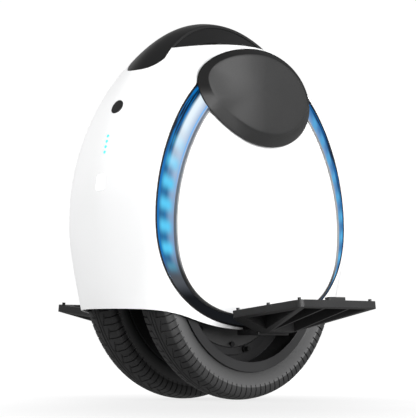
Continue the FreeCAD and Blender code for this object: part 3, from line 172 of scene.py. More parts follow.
class Links:
    """Short ways to add and join shader nodes in one tree."""

    def __init__(self, tree: NodeTree) -> None:
        """Keeps the tree that the nodes go into."""
        self.tree = tree

    @property
    def shader(self) -> NodeInputs:
        """Sockets of a material's main shader."""
        return self.tree.nodes["Principled BSDF"].inputs

    def add(self, kind: str, **values: object) -> Node:
        """Adds a node and sets its properties.

        Args:
            kind: Blender's name of the node type.
            values: properties by name.

        Returns:
            The new node.
        """
        node = self.tree.nodes.new(kind)
        for name, value in values.items():
            setattr(node, name, value)
        return node

    def join(self, source: Socket, target: Socket) -> None:
        """Links two sockets."""
        self.tree.links.new(source, target)

    def math(self, operation: str, *terms: object) -> Socket:
        """Adds a Math node over numbers and sockets.

        Args:
            operation: Blender's name of the operation.
            terms: numbers or sockets, in order.

        Returns:
            The result's socket.
        """
        node = self.add("ShaderNodeMath", operation=operation)
        for index, term in enumerate(terms):
            self.feed(term, node.inputs[index])
        return node.outputs[0]

    def times(self, first: object, second: object) -> Socket:
        """Multiplies two numbers or sockets."""
        return self.math("MULTIPLY", first, second)

    def ramp(self, value: object, low: float, high: float, start: float = 0.0, end: float = 1.0) -> Socket:
        """Adds a smooth Map Range node.

        Args:
            value: number or socket to map.
            low: value that gives start.
            high: value that gives end.
            start: result at low.
            end: result at high.

        Returns:
            The result's socket.
        """
        node = self.add("ShaderNodeMapRange", interpolation_type="SMOOTHSTEP")
        self.feed(value, node.inputs["Value"])
        for name, number in (("From Min", low), ("From Max", high), ("To Min", start), ("To Max", end)):
            node.inputs[name].default_value = number
        return node.outputs["Result"]

    def window(self, value: object, spans: tuple[Span, Span]) -> Socket:
        """Rises over the first span and falls over the second."""
        return self.times(*[self.ramp(value, *span) for span in spans])

    def mix(self, share: object, first: object, second: object) -> Socket:
        """Mixes two colours.

        Args:
            share: how much of the second, as a number or socket.
            first: colour or socket.
            second: colour or socket.

        Returns:
            The mixed colour's socket.
        """
        node = self.add("ShaderNodeMix", data_type="RGBA")
        for index, value in ((MIX_SHARE, share), (MIX_FIRST, first), (MIX_SECOND, second)):
            self.feed(value, node.inputs[index])
        return node.outputs[MIX_RESULT]

    def cover(self, target: Socket, share: object, colour: object) -> None:
        """Mixes a colour over what already feeds a socket."""
        self.join(self.mix(share, target.links[0].from_socket, colour), target)

    def where(self, kind: str = "Object") -> Socket:
        """Place on the piece in metres, or the direction in the surround."""
        return self.add("ShaderNodeTexCoord").outputs[kind]

    def apart(self, vector: Socket) -> NodeOutputs:
        """Splits a vector into X, Y and Z."""
        node = self.add("ShaderNodeSeparateXYZ")
        self.join(vector, node.inputs[0])
        return node.outputs

    def shares(self) -> NodeOutputs:
        """Splits the shares kept on the piece's mesh."""
        return self.apart(self.add("ShaderNodeAttribute", attribute_name="shares").outputs["Vector"])

    def noise(self, place: Socket, scale: object, detail: float = 2.0) -> Socket:
        """Adds noise over places."""
        node = self.add("ShaderNodeTexNoise", noise_dimensions="3D")
        for name, value in (("Vector", place), ("Scale", scale), ("Detail", detail)):
            self.feed(value, node.inputs[name])
        return node.outputs["Fac"]

    def feed(self, value: object, target: Socket) -> None:
        """Links a socket, or sets a number or colour."""
        if isinstance(value, Socket):
            self.join(value, target)
        elif isinstance(value, tuple):
            target.default_value = (*value, 1.0) if len(value) == 3 else value
        else:
            target.default_value = value


class Effect(Enum):
    """Shared surface effects, each a shader node group."""

    GRAIN = "fine_grain"
    WEAR = "edge_wear"
    DUST = "settled_dust"


class EffectKit:
    """Builds each shared effect once."""

    grain_inputs = (("Scale", 900.0), ("Cloud Scale", 12.0))
    fine_detail = 3.0
    wear_inputs = (("Radius", 0.0008), ("Breakup", 300.0))
    wear_samples = 4
    wear_edge: Span = (0.995, 0.8)
    wear_breaks: Course = (0.3, 0.6, 0.4, 1.0)
    dust_inputs = (("Scale", 60.0),)
    dust_detail = 5.0
    dust_slope: Span = (0.3, 1.0)
    dust_breaks: Span = (0.35, 0.75)

    def __init__(self) -> None:
        """Builds all groups."""
        self.groups = {Effect.GRAIN: self._grain(), Effect.WEAR: self._wear(), Effect.DUST: self._dust()}

    @staticmethod
    def _start(effect: Effect, inputs: Sequence[tuple[str, float]],
               outputs: Sequence[str]) -> tuple[Links, Node, Node]:
        """Starts a group with float sockets.

        Args:
            effect: which group.
            inputs: names and first values.
            outputs: names.

        Returns:
            The group's links, input node and output node.
        """
        tree = bpy.data.node_groups.new(effect.value, "ShaderNodeTree")
        for socket, value in inputs:
            made = tree.interface.new_socket(socket, in_out="INPUT", socket_type="NodeSocketFloat")
            made.default_value = value
        for socket in outputs:
            tree.interface.new_socket(socket, in_out="OUTPUT", socket_type="NodeSocketFloat")
        links = Links(tree)
        return links, links.add("NodeGroupInput"), links.add("NodeGroupOutput")

    def _grain(self) -> NodeTree:
        """Fine moulded grain over slow clouds of tone."""
        links, enter, leave = self._start(Effect.GRAIN, self.grain_inputs, ["Height", "Cloud"])
        place = links.where()
        links.join(links.noise(place, enter.outputs["Scale"], self.fine_detail), leave.inputs["Height"])
        links.join(links.noise(place, enter.outputs["Cloud Scale"]), leave.inputs["Cloud"])
        return links.tree

    def _wear(self) -> NodeTree:
        """Mask that is bright along edges, broken up by noise."""
        links, enter, leave = self._start(Effect.WEAR, self.wear_inputs, ["Mask"])
        bevel = links.add("ShaderNodeBevel", samples=self.wear_samples)
        links.join(enter.outputs["Radius"], bevel.inputs["Radius"])
        plain = links.add("ShaderNodeNewGeometry").outputs["Normal"]
        dot = links.add("ShaderNodeVectorMath", operation="DOT_PRODUCT")
        links.join(bevel.outputs["Normal"], dot.inputs[0])
        links.join(plain, dot.inputs[1])
        edge = links.ramp(dot.outputs["Value"], *self.wear_edge)
        breaks = links.ramp(links.noise(links.where(), enter.outputs["Breakup"]), *self.wear_breaks)
        links.join(links.times(edge, breaks), leave.inputs["Mask"])
        return links.tree

    def _dust(self) -> NodeTree:
        """Mask of thin dust on faces that look up."""
        links, enter, leave = self._start(Effect.DUST, self.dust_inputs, ["Mask"])
        normal = links.apart(links.add("ShaderNodeNewGeometry").outputs["Normal"])
        noise = links.noise(links.where(), enter.outputs["Scale"], self.dust_detail)
        up = links.ramp(normal["Z"], *self.dust_slope)
        links.join(links.times(up, links.ramp(noise, *self.dust_breaks)), leave.inputs["Mask"])
        return links.tree

    def place(self, links: Links, effect: Effect, **values: float) -> Node:
        """Puts an effect's group into a material.

        Args:
            links: the material's links.
            effect: which group.
            values: input values by name, with _ for a space.

        Returns:
            The group node.
        """
        node = links.add("ShaderNodeGroup", node_tree=self.groups[effect])
        for name, value in values.items():
            node.inputs[name.replace("_", " ")].default_value = value
        return node


@dataclass(frozen=True)
class Look:
    """Recipe of a material."""

    name: str

    def build(self, kit: EffectKit) -> Material:
        """Makes the material.

        Args:
            kit: the shared effects.

        Returns:
            The new material.
        """
        material = bpy.data.materials.new(self.name)
        material.use_nodes = True
        self.paint(kit, Links(material.node_tree))
        return material

    def paint(self, kit: EffectKit, links: Links) -> None:
        """Feeds the main shader, in each kind of look."""
        raise NotImplementedError


@dataclass(frozen=True)
class Finish(Look):
    """A moulded, cast, painted or rubber surface."""

    colour: Colour
    roughness: float
    metallic: float = 0.0
    coat: float = 0.0
    specular: float = 0.5
    grain_scale: float = 900.0
    grain_bump: float = 0.05
    cloud_scale: float = 12.0
    tone: float = 0.12
    wear: float = 0.15
    wear_radius: float = 0.0007
    wear_gain: float = 1.6
    wear_lift: float = 0.03
    dust: float = 0.0
    dust_colour: Colour = (0.4, 0.39, 0.37)
    cloud_span: Span = (0.3, 0.7)
    grain_span: Span = (0.25, 0.75)
    roughness_shares: Span = (0.88, 1.1)
    bump_height: float = 0.0004
    glow: Optional[Colour] = None
    glow_strength: float = 1.0

    def paint(self, kit: EffectKit, links: Links) -> None:
        """Paints clouds of tone, worn edges and dust over fine grain, and the glow of lamps.

        Args:
            kit: the shared effects.
            links: the material's links.
        """
        shader = links.shader
        shader["Metallic"].default_value = self.metallic
        shader["Coat Weight"].default_value = self.coat
        shader["Specular IOR Level"].default_value = self.specular
        grain = kit.place(links, Effect.GRAIN, Scale=self.grain_scale, Cloud_Scale=self.cloud_scale)
        dark = tuple(part * (1 - self.tone) for part in self.colour)
        light = tuple(min(1.0, part * (1 + self.tone)) for part in self.colour)
        colour = links.mix(links.ramp(grain.outputs["Cloud"], *self.cloud_span), dark, light)
        if self.wear > 0:
            edge = kit.place(links, Effect.WEAR, Radius=self.wear_radius)
            bright = tuple(min(1.0, part * self.wear_gain + self.wear_lift) for part in self.colour)
            colour = links.mix(links.times(edge.outputs["Mask"], self.wear), colour, bright)
        if self.dust > 0:
            settled = kit.place(links, Effect.DUST)
            colour = links.mix(links.times(settled.outputs["Mask"], self.dust), colour, self.dust_colour)
        links.join(colour, shader["Base Color"])
        rough = [self.roughness * share for share in self.roughness_shares]
        links.join(links.ramp(grain.outputs["Height"], *self.grain_span, *rough), shader["Roughness"])
        bump = links.add("ShaderNodeBump")
        bump.inputs["Strength"].default_value = self.grain_bump
        bump.inputs["Distance"].default_value = self.bump_height
        links.join(grain.outputs["Height"], bump.inputs["Height"])
        links.join(bump.outputs["Normal"], shader["Normal"])
        if self.glow is not None:
            links.feed(self.glow, shader["Emission Color"])
            shader["Emission Strength"].default_value = self.glow_strength


@dataclass(frozen=True)
class TyreRubber(Finish):
    """Tyre rubber with a smoother, greyer sidewall, told from the tread by the distance from the axle, with
    painted shade that darkens the sidewall towards the bead.
    """

    # the bead colour is the sidewall's painted shade next to the rim, the sidewall colour its tone at the
    # tread's edge
    bead: Colour = (0.045, 0.045, 0.0455)
    sidewall: Colour = (0.1, 0.1, 0.101)
    axle_height: float = 0.178
    bead_radius: float = 0.1405
    edge_radius: float = 0.1615
    edge_blend: float = 0.0006

    def paint(self, kit: EffectKit, links: Links) -> None:
        """Paints the tread, then the sidewall over it, with painted shade that darkens the sidewall towards
        the bead.

        Args:
            kit: the shared effects.
            links: the material's links.
        """
        super().paint(kit, links)
        place = links.apart(links.where())
        ahead, rise = place["X"], links.math("SUBTRACT", place["Z"], self.axle_height)
        reach = links.math("SQRT", links.math("ADD", links.times(rise, rise), links.times(ahead, ahead)))
        flank = links.ramp(reach, self.edge_radius + self.edge_blend, self.edge_radius - self.edge_blend)
        # painted shade: the sidewall darkens from the tread's edge towards the bead
        side = links.mix(links.ramp(reach, self.bead_radius, self.edge_radius), self.bead, self.sidewall)
        links.cover(links.shader["Base Color"], flank, side)


@dataclass(frozen=True)
class PadSkin(Finish):
    """Soft skin, duller along the pad's upper edge and foot, and darker there with painted shade on the upper
    edge and a painted shadow along the foot.
    """

    # edge is the colour of the painted shade on the upper edge and of the painted shadow along the foot
    edge: Colour = (0.0015, 0.0015, 0.0016)
    edge_roughness: float = 0.95
    shade_edge_shares: Span = (0.72, 0.64)
    shade_edge_heights: Span = (0.375, 0.41)
    foot_shadow_shares: Span = (0.44, 0.38)

    def paint(self, kit: EffectKit, links: Links) -> None:
        """Paints the face, then the painted shade on the upper edge and the painted shadow along the foot,
        told apart by the shares kept on the pad's mesh.

        Args:
            kit: the shared effects.
            links: the material's links.
        """
        super().paint(kit, links)
        over, height = links.shares()["Y"], links.apart(links.where())["Z"]
        # painted shade along the upper edge, then a painted shadow along the foot
        edge = links.times(links.ramp(over, *self.shade_edge_shares), links.ramp(height, *self.shade_edge_heights))
        edge = links.math("MAXIMUM", edge, links.ramp(over, *self.foot_shadow_shares))
        links.cover(links.shader["Base Color"], edge, self.edge)
        rough = links.shader["Roughness"]
        dull = links.times(edge, self.edge_roughness)
        links.join(links.math("MAXIMUM", rough.links[0].from_socket, dull), rough)


@dataclass(frozen=True)
class RimGrey(Finish):
    """Grey rim inside the light band, with painted shade that darkens it towards the ground."""

    # low is the colour of the painted shade near the ground
    low: Colour = (0.02, 0.02, 0.021)
    low_shade_heights: Span = (0.195, 0.155)

    def paint(self, kit: EffectKit, links: Links) -> None:
        """Paints the rim, then painted shade over its foot."""
        super().paint(kit, links)
        # painted shade: the rim darkens towards the ground
        low = links.ramp(links.apart(links.where())["Z"], *self.low_shade_heights)
        links.cover(links.shader["Base Color"], low, self.low)


@dataclass(frozen=True)
class BandGlow(Look):
    """Blue light band: soft spots behind a clear lens, pale near the pad, dark near the ground.

    Shares run across the band, from its outer edge to its inner edge. Heights are in metres.
    """

    navy: Colour = (0.0015, 0.014, 0.04)
    streak: Colour = (0.004, 0.17, 0.52)
    dull: Colour = (0.01, 0.075, 0.22)
    spot: Colour = (0.1, 0.6, 0.92)
    pale: Colour = (0.4, 0.5, 0.68)
    white: Colour = (0.78, 0.88, 0.95)
    thread: Colour = (0.13, 0.45, 0.92)
    steel: Colour = (0.08, 0.22, 0.5)
    dim: Colour = (0.08, 0.088, 0.102)
    unlit: Colour = (0.009, 0.01, 0.012)
    spots: int = 39
    phase: float = 0.5
    spot_swing: float = 0.4
    spot_mean: float = 0.54
    spot_shares: tuple[Span, Span] = ((-0.05, 0.3), (1.06, 0.6))
    front_places: Span = (-0.04, 0.06)
    rear_lift: float = 0.05
    rear_calm: float = 0.6
    calm_shares: tuple[Span, Span] = ((0.15, 0.4), (0.95, 0.8))
    dull_streak: float = 0.25
    inside_shares: Span = (0.4, 0.8)
    inside_heights: Course = (0.2, 0.34, 0.5, 1.0)
    glare_heights: Span = (0.27, 0.37)
    glare_shares: Span = (0.22, 0.42)
    glare_fade: Span = (0.5, 0.95)
    edge_course: Course = (0.15, 0.05, 0.0, 0.8)
    outer_streak: float = 0.9
    outer_shares: Span = (0.42, 0.24)
    outer_heights: Span = (0.29, 0.36)
    thread_shares: tuple[Span, Span] = ((0.86, 0.9), (0.97, 0.94))
    thread_heights: Course = (0.24, 0.34, 0.1, 0.75)
    dim_heights: Span = (0.195, 0.155)
    unlit_heights: Span = (0.155, 0.132)
    line_stretch: tuple = (0.8, 15.0)
    line_edges: Span = (0.36, 0.64)
    lens_dark: float = 0.96
    lens_grain_scale: float = 300.0
    lens_cloud_scale: float = 25.0
    lens_roughness: Course = (0.3, 0.7, 0.12, 0.2)
    lens_specular: float = 0.015

    def paint(self, kit: EffectKit, links: Links) -> None:
        """Paints the light behind the lens, placed by the shares kept on the band's mesh.

        Args:
            kit: the shared effects.
            links: the material's links.
        """
        shader, shares, place = links.shader, links.shares(), links.apart(links.where())
        along = links.math("MULTIPLY_ADD", shares["X"], float(self.spots), self.phase)
        across = shares["Y"]
        front = links.ramp(place["X"], *self.front_places)
        rear = links.math("SUBTRACT", 1.0, front)
        height = links.math("ADD", place["Z"], links.times(rear, self.rear_lift))
        glare = links.times(front, links.ramp(place["Z"], *self.glare_heights))
        lit = self._lit(links, along, across, height, glare)
        calm = links.times(links.times(rear, self.rear_calm), links.window(across, self.calm_shares))
        lit = links.mix(calm, lit, self.steel)
        lit = links.mix(links.ramp(height, *self.dim_heights), lit, self.dim)
        lit = links.mix(links.ramp(height, *self.unlit_heights), lit, self.unlit)
        links.join(lit, shader["Emission Color"])
        shader["Emission Strength"].default_value = 1.0
        links.join(links.mix(self.lens_dark, lit, BLACK), shader["Base Color"])
        grain = kit.place(links, Effect.GRAIN, Scale=self.lens_grain_scale, Cloud_Scale=self.lens_cloud_scale)
        links.join(links.ramp(grain.outputs["Cloud"], *self.lens_roughness), shader["Roughness"])
        shader["Specular IOR Level"].default_value = self.lens_specular

    def _lit(self, links: Links, along: Socket, across: Socket, height: Socket, glare: Socket) -> Socket:
        """Builds the lit band's colour.

        Args:
            links: the material's links.
            along: spots along the band.
            across: share from the outer edge to the inner edge.
            height: metres above the ground, more at the rear.
            glare: how pale the upper front is.

        Returns:
            The colour's socket.
        """
        wave = links.math("COSINE", links.times(along, math.tau))
        spot = links.math("MULTIPLY_ADD", wave, self.spot_swing, self.spot_mean)
        lines = self._streaks(links, along, across)
        lit = links.mix(links.times(lines, self.dull_streak), self.dull, self.streak)
        level = links.ramp(height, *self.inside_heights)
        lit = links.mix(links.times(links.ramp(across, *self.inside_shares), level), lit, self.pale)
        lit = links.mix(links.times(spot, links.window(across, self.spot_shares)), lit, self.spot)
        shine = links.mix(links.ramp(across, *self.glare_fade), self.white, self.pale)
        lit = links.mix(links.times(glare, links.ramp(across, *self.glare_shares)), lit, shine)
        lit = links.mix(links.ramp(across, *self.edge_course), lit, self.streak)
        outer = links.mix(links.times(links.times(lines, lines), self.outer_streak), self.navy, self.streak)
        level = links.ramp(height, *self.outer_heights)
        lit = links.mix(links.times(links.ramp(across, *self.outer_shares), level), lit, outer)
        level = links.ramp(height, *self.thread_heights)
        return links.mix(links.times(links.window(across, self.thread_shares), level), lit, self.thread)

    def _streaks(self, links: Links, along: Socket, across: Socket) -> Socket:
        """Thin lines that run along the band."""
        stretched = links.add("ShaderNodeCombineXYZ")
        for index, share in enumerate((along, across)):
            links.join(links.times(share, self.line_stretch[index]), stretched.inputs[index])
        return links.ramp(links.noise(stretched.outputs[0], 1.0), *self.line_edges)


@dataclass(frozen=True)
class StudioFloor(Finish):
    """White floor whose glow keeps the cast shadow faint, with a painted soft shadow near the object."""

    # near_glow is the glow in the middle of the painted shadow, far_glow the glow beyond it
    near_glow: float = 0.7
    far_glow: float = 1.0
    shade_place: tuple = (0.26, 0.25, 0.0)
    shade_turn: tuple = (0.0, 0.0, math.radians(45.0))
    shade_size: tuple = (1.25, 0.55, 1.0)

    def paint(self, kit: EffectKit, links: Links) -> None:
        """Paints the floor with a glow that is weaker in an oval round the object, as a painted shadow.

        Args:
            kit: the shared effects.
            links: the material's links.
        """
        super().paint(kit, links)
        # painted shadow: the glow is weaker in an oval round the object
        oval = links.add("ShaderNodeMapping", vector_type="TEXTURE")
        for name, value in (("Location", self.shade_place), ("Rotation", self.shade_turn),
                            ("Scale", self.shade_size)):
            oval.inputs[name].default_value = value
        links.join(links.where(), oval.inputs["Vector"])
        away = links.add("ShaderNodeVectorMath", operation="LENGTH")
        links.join(oval.outputs[0], away.inputs[0])
        glow = links.ramp(away.outputs["Value"], 0.0, 1.0, self.near_glow, self.far_glow)
        colour = links.add("ShaderNodeCombineXYZ")
        for socket in colour.inputs:
            links.join(glow, socket)
        links.join(colour.outputs[0], links.shader["Emission Color"])


FLOOR = StudioFloor("pale_floor", (0.13, 0.13, 0.1305), 0.9, wear=0.0, tone=0.004, grain_bump=0.0,
                    specular=0.0, glow=WHITE)
SHELL = Finish("shell_satin_white", (0.86, 0.863, 0.866), 0.42, specular=0.35, grain_scale=220,
               grain_bump=0.006, tone=0.012, cloud_scale=6, wear=0.0)
FINISHES: dict[str, Look] = {
    "tyre_black": TyreRubber("tyre_rubber", (0.024, 0.024, 0.0245), 0.55, grain_scale=700, grain_bump=0.12,
                             tone=0.2, wear=0.25, dust=0.05),
    "tube_rubber": Finish("tube_rubber", (0.02, 0.02, 0.02), 0.7),
    "rim_grey": Finish("rim_satin", (0.03, 0.03, 0.031), 0.42, metallic=0.2, grain_bump=0.03, wear=0.35),
    "valve_brass": Finish("valve_dark_nickel", (0.02, 0.02, 0.02), 0.4, metallic=0.5, wear=0.3),
    "drum_steel": Finish("drum_turned_steel", (0.02, 0.02, 0.021), 0.45, metallic=0.5, wear=0.2),
    "magnet_nickel": Finish("magnet_nickel", (0.6, 0.6, 0.58), 0.25, metallic=1.0),
    "motor_grey": Finish("motor_cover_coat", (0.062, 0.062, 0.0625), 0.45, grain_bump=0.1, wear=0.25),
    "screw_steel": Finish("screw_black_zinc", (0.03, 0.03, 0.031), 0.4, metallic=0.7),
    "bearing_steel": Finish("bearing_ground_steel", (0.5, 0.5, 0.52), 0.25, metallic=1.0),
    "axle_steel": Finish("axle_turned_steel", (0.25, 0.25, 0.26), 0.3, metallic=1.0),
    "core_iron": Finish("core_laminated_iron", (0.12, 0.12, 0.125), 0.5, metallic=0.8),
    "coil_copper": Finish("coil_enamelled_copper", (0.5, 0.22, 0.09), 0.35, metallic=0.9),
    "hanger_black": Finish("hanger_powder_coat", (0.01, 0.01, 0.0105), 0.5, grain_bump=0.15, wear=0.35),
    "pedal_black": Finish("pedal_powder_coat", (0.02, 0.02, 0.0205), 0.48, specular=0.4, grain_scale=1100,
                          grain_bump=0.15, wear=0.25, tone=0.15),
    "mat_rubber": Finish("mat_grip_rubber", (0.016, 0.016, 0.016), 0.85, grain_scale=1400, grain_bump=0.7,
                         tone=0.3),
    "stud_black": Finish("stud_blackened_steel", (0.03, 0.03, 0.03), 0.4, metallic=0.6, wear=0.5),
    "bumper_rubber": Finish("bumper_rubber", (0.02, 0.02, 0.02), 0.6, grain_bump=0.1),
    "shell_white": SHELL,
    "panel_white": replace(SHELL, name="panel_satin_white", colour=(0.87, 0.873, 0.876)),
    "tray_black": Finish("tray_gloss_black", (0.008, 0.008, 0.009), 0.25, wear=0.2),
    "lens_blue": BandGlow("band_glow"),
    "band_grey": RimGrey("band_rim_satin_grey", (0.26, 0.264, 0.27), 0.4),
    "led_white": Finish("light_strip", (0.5, 0.6, 0.7), 0.5, glow=(0.3, 0.7, 1.0)),
    "pad_black": PadSkin("pad_soft_skin", (0.017, 0.017, 0.0172), 0.58, grain_scale=1000, grain_bump=0.18,
                         tone=0.1, wear=0.0),
    "handle_black": Finish("handle_satin_black", (0.009, 0.009, 0.0093), 0.33, grain_scale=1200,
                           grain_bump=0.08, wear=0.5),
    "handle_dark": Finish("handle_dull_black", (0.006, 0.006, 0.0063), 0.55, specular=0.22, grain_scale=1200,
                          grain_bump=0.12, wear=0.4),
    "well_black": Finish("well_white_liner", (0.7, 0.705, 0.71), 0.4, wear=0.0),
    "button_grey": Finish("button_dark_grey", (0.013, 0.013, 0.0133), 0.55, wear=0.2),
    "module_black": Finish("module_dull_black", (0.02, 0.02, 0.02), 0.6),
    "charge_cyan": Finish("charge_light_cyan", (0.05, 0.5, 0.6), 0.3, glow=(0.03, 0.75, 0.85)),
    "lamp_clear": Finish("lamp_frosted_clear", (0.9, 0.91, 0.92), 0.3, coat=0.6, tone=0.01, glow=WHITE,
                         glow_strength=0.25, wear=0.0),
    "tail_red": Finish("tail_lens_red", (0.35, 0.012, 0.012), 0.15, coat=0.8, glow=(0.5, 0.01, 0.01),
                       glow_strength=0.15),
    "cap_rubber": Finish("cap_rubber", (0.03, 0.03, 0.03), 0.65, grain_bump=0.15),
    "arch_black": Finish("arch_dull_black", (0.012, 0.012, 0.012), 0.7, grain_bump=0.2),
    "battery_blue": Finish("battery_film_blue", (0.02, 0.07, 0.25), 0.35),
    "sink_aluminium": Finish("sink_extruded_aluminium", (0.6, 0.6, 0.61), 0.4, metallic=1.0),
    "board_green": Finish("board_lacquer_green", (0.015, 0.12, 0.04), 0.4),
    "cable_rubber": Finish("cable_rubber", (0.02, 0.02, 0.02), 0.55),
}


class Workshop:
    """Turns meshes into pieces that ride on the frame. Gaps are in millimetres, angles in degrees."""

    grid_half = 0.5
    seam_gap = 0.01
    weld_gap = 0.005
    round_steps = 2
    round_angle = 40.0

    def __init__(self) -> None:
        """Builds the shared effects and every slot's material."""
        self.kit = EffectKit()
        self.materials = {slot: look.build(self.kit) for slot, look in FINISHES.items()}

    def sheet(self, columns: int, rows: int, place: Place) -> bmesh.types.BMesh:
        """Lays a grid over a surface and closes its seams and poles.

        Args:
            columns: steps along the first share.
            rows: steps along the second share.
            place: point of the surface at two shares from 0 to 1.

        Returns:
            The mesh, with a layer that keeps the two shares.
        """
        mesh = bmesh.new()
        bmesh.ops.create_grid(mesh, x_segments=columns, y_segments=rows, size=self.grid_half)
        shares = mesh.verts.layers.float_vector.new("shares")
        for vertex in mesh.verts:
            along, over = (min(1.0, max(0.0, part + self.grid_half)) for part in vertex.co.xy)
            vertex[shares] = (along, over, 0.0)
            vertex.co = place(along, over)
        bmesh.ops.remove_doubles(mesh, verts=mesh.verts, dist=self.seam_gap * MM)
        bmesh.ops.recalc_face_normals(mesh, faces=mesh.faces)
        return mesh

    def piece(self, name: str, mesh: bmesh.types.BMesh, body: Body, slot: str, angle: float) -> Object:
        """Makes an object from a mesh and puts it on a body.

        Args:
            name: the piece's name.
            mesh: its shape, which is used up.
            body: what it rides on.
            slot: the record's slot that gives its look.
            angle: edges sharper than this, in degrees, stay sharp.

        Returns:
            The new object.
        """
        data = bpy.data.meshes.new(name)
        mesh.to_mesh(data)
        mesh.free()
        data.shade_smooth()
        data.set_sharp_from_angle(angle=math.radians(angle))
        piece = add_object(name, data)
        data.materials.append(self.materials[slot])
        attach(piece, body.value)
        LOG.info("%s: %d faces on %s", name, len(data.polygons), body.value)
        return piece

    def dress_frame(self) -> None:
        """Gives every node of the frame its slot's material."""
        for row in frame["record"]["subparts"]:
            node = frame["nodes"][row["node"]]
            for place in node.material_slots:
                place.link = "OBJECT"
                place.material = self.materials[row["material_slot"]]

    def soften(self, node: str, width: float) -> None:
        """Rounds a node's edges for the light to catch.

        Args:
            node: the node's name.
            width: the rounding's width, in millimetres.
        """
        target = frame["nodes"][node]
        weld = target.modifiers.new("join", "WELD")
        weld.merge_threshold = self.weld_gap * MM
        bevel = target.modifiers.new("round", "BEVEL")
        bevel.width = width * MM
        bevel.segments = self.round_steps
        bevel.limit_method = "ANGLE"
        bevel.angle_limit = math.radians(self.round_angle)
        target.modifiers.new("shade", "WEIGHTED_NORMAL").keep_sharp = True


def arc_points(first: Vector, middle: Vector, last: Vector, count: int) -> list[Vector]:
    """Points along the arc through three places.

    Args:
        first: start.
        middle: a place between.
        last: end.
        count: steps along the arc.

    Returns:
        The points, with both ends.
    """
    a, b, c = first, middle, last
    d = 2 * (a.x * (b.y - c.y) + b.x * (c.y - a.y) + c.x * (a.y - b.y))
    if abs(d) < STRAIGHT:
        return [a.lerp(c, step / count) for step in range(count + 1)]
    aa, bb, cc = a.length_squared, b.length_squared, c.length_squared
    ux = (aa * (b.y - c.y) + bb * (c.y - a.y) + cc * (a.y - b.y)) / d
    uy = (aa * (c.x - b.x) + bb * (a.x - c.x) + cc * (b.x - a.x)) / d
    centre = Vector((ux, uy))
    start = math.atan2(a.y - uy, a.x - ux)
    turn = [(math.atan2(p.y - uy, p.x - ux) - start) % math.tau for p in (b, c)]
    sweep = turn[1] if turn[0] < turn[1] else turn[1] - math.tau
    radius = (a - centre).length
    angles = [start + sweep * step / count for step in range(count + 1)]
    return [centre + radius * Vector((math.cos(angle), math.sin(angle))) for angle in angles]


@dataclass
class Tyre:
    """Tyre with cut tread, in place of the plain ring.

    A groove is cut from its floor to its edge: the ring's in millimetres, slots' and legs' in pitches.
    """

    side: Side
    radius: float = 178.0
    bead: float = 138.5
    centre: float = 50.0
    half: float = 23.0
    pitches: int = 108
    phases: tuple = (-0.1, -0.055, 0.055, 0.1, 0.33, 0.5, 0.67)
    groove_depth: float = 2.8
    tube_depth: float = 22.0
    sidewall: tuple = ((0.8, 0.0), (0.955, 0.26), (0.96, 0.5))
    shoulder: tuple = ((0.99, 0.59), (0.96, 0.76), (0.84, 0.895))
    tread_step: float = 0.9
    tread_start: float = 0.51
    side_steps: int = 8
    shoulder_steps: int = 12
    ring_share: float = 0.11
    ring_cut: Span = (0.24, 0.9)
    slot_ends: tuple = (0.24, 0.45)
    slot_cut: Span = (0.06, 0.095)
    leg_end: float = 0.52
    leg_turn: float = 1.5
    leg_cut: Span = (0.05, 0.2)
    shallow: float = 0.7
    sharp_angle: float = 34.0

    def profile(self) -> list[Vector]:
        """The closed outline from bead to bead, as (across, radius)."""
        height = self.radius - self.bead

        def spot(share: tuple[float, float]) -> Vector:
            """Place of a pair of shares."""
            return Vector((self.half * share[0], self.bead + height * share[1]))

        points = arc_points(*[spot(share) for share in self.sidewall], self.side_steps)
        shoulder = arc_points(*[spot(share) for share in self.shoulder], self.shoulder_steps)
        points += [points[-1].lerp(shoulder[0], 0.5)] + shoulder
        edge = shoulder[-1]
        count = 2 * round(edge.x / self.tread_step)
        crown = arc_points(edge, Vector((0.0, self.radius)), Vector((-edge.x, edge.y)), count)
        mirrored = [Vector((-point.x, point.y)) for point in reversed(points)]
        return points + crown[1:-1] + mirrored + [points[0].copy()]

    def build(self, shop: Workshop) -> None:
        """Lays the tyre round the wheel with its tread cut in, and puts it on the wheel.

        Args:
            shop: the workshop.
        """
        loop = self.profile()
        rows = len(loop) - 1
        parts = len(self.phases)
        columns = self.pitches * parts
        tube = Vector((0.0, self.radius - self.tube_depth))

        def place(along: float, over: float) -> Vector:
            """Point of the tyre at shares round it and over its outline."""
            point, index = loop[round(over * rows)], round(along * columns)
            turn = index // parts + self.phases[index % parts]
            point = point + (tube - point).normalized() * self._sink(turn, point)
            angle = math.tau * turn / self.pitches
            height = self.radius + point.y * math.cos(angle)
            return self.side.point(point.y * math.sin(angle), self.centre + point.x, height)

        mesh = shop.sheet(columns, rows, place)
        tyre = shop.piece("tyre_tread_" + self.side.word, mesh, Body.WHEEL, "tyre_black", self.sharp_angle)
        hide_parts("tyre_" + self.side.word)

    def _sink(self, turn: float, point: Vector) -> float:
        """How deep the tread is cut at a place.

        Args:
            turn: pitches round the tyre.
            point: place on the outline, as (across, radius).

        Returns:
            The depth, in millimetres.
        """
        height = (point.y - self.bead) / (self.radius - self.bead)
        if height <= self.tread_start:
            return 0.0
        share = abs(point.x) / self.half
        turn += 0.0 if point.x >= 0 else 1.0
        even = round(turn) % 2 == 0
        cut = 0.0
        if share > self.slot_ends[0 if even else 1]:
            cut = self._cut(abs(turn - round(turn)), *self.slot_cut)
        if self.slot_ends[0] <= share <= self.leg_end:
            travel = (share - self.slot_ends[0]) / (self.leg_end - self.slot_ends[0])
            offset = (turn + self.leg_turn * travel + 1) % 2 - 1
            cut = max(cut, self.shallow * self._cut(abs(offset), *self.leg_cut))
        ring = self._cut(abs(share - self.ring_share) * self.half, *self.ring_cut)
        return self.groove_depth * max(cut, self.shallow * ring)

    @staticmethod
    def _cut(gap: float, floor: float, edge: float) -> float:
        """Share of the depth at a gap from a groove's middle: 1 on its floor, 0 past its edge."""
        return min(1.0, max(0.0, (edge - gap) / (edge - floor)))


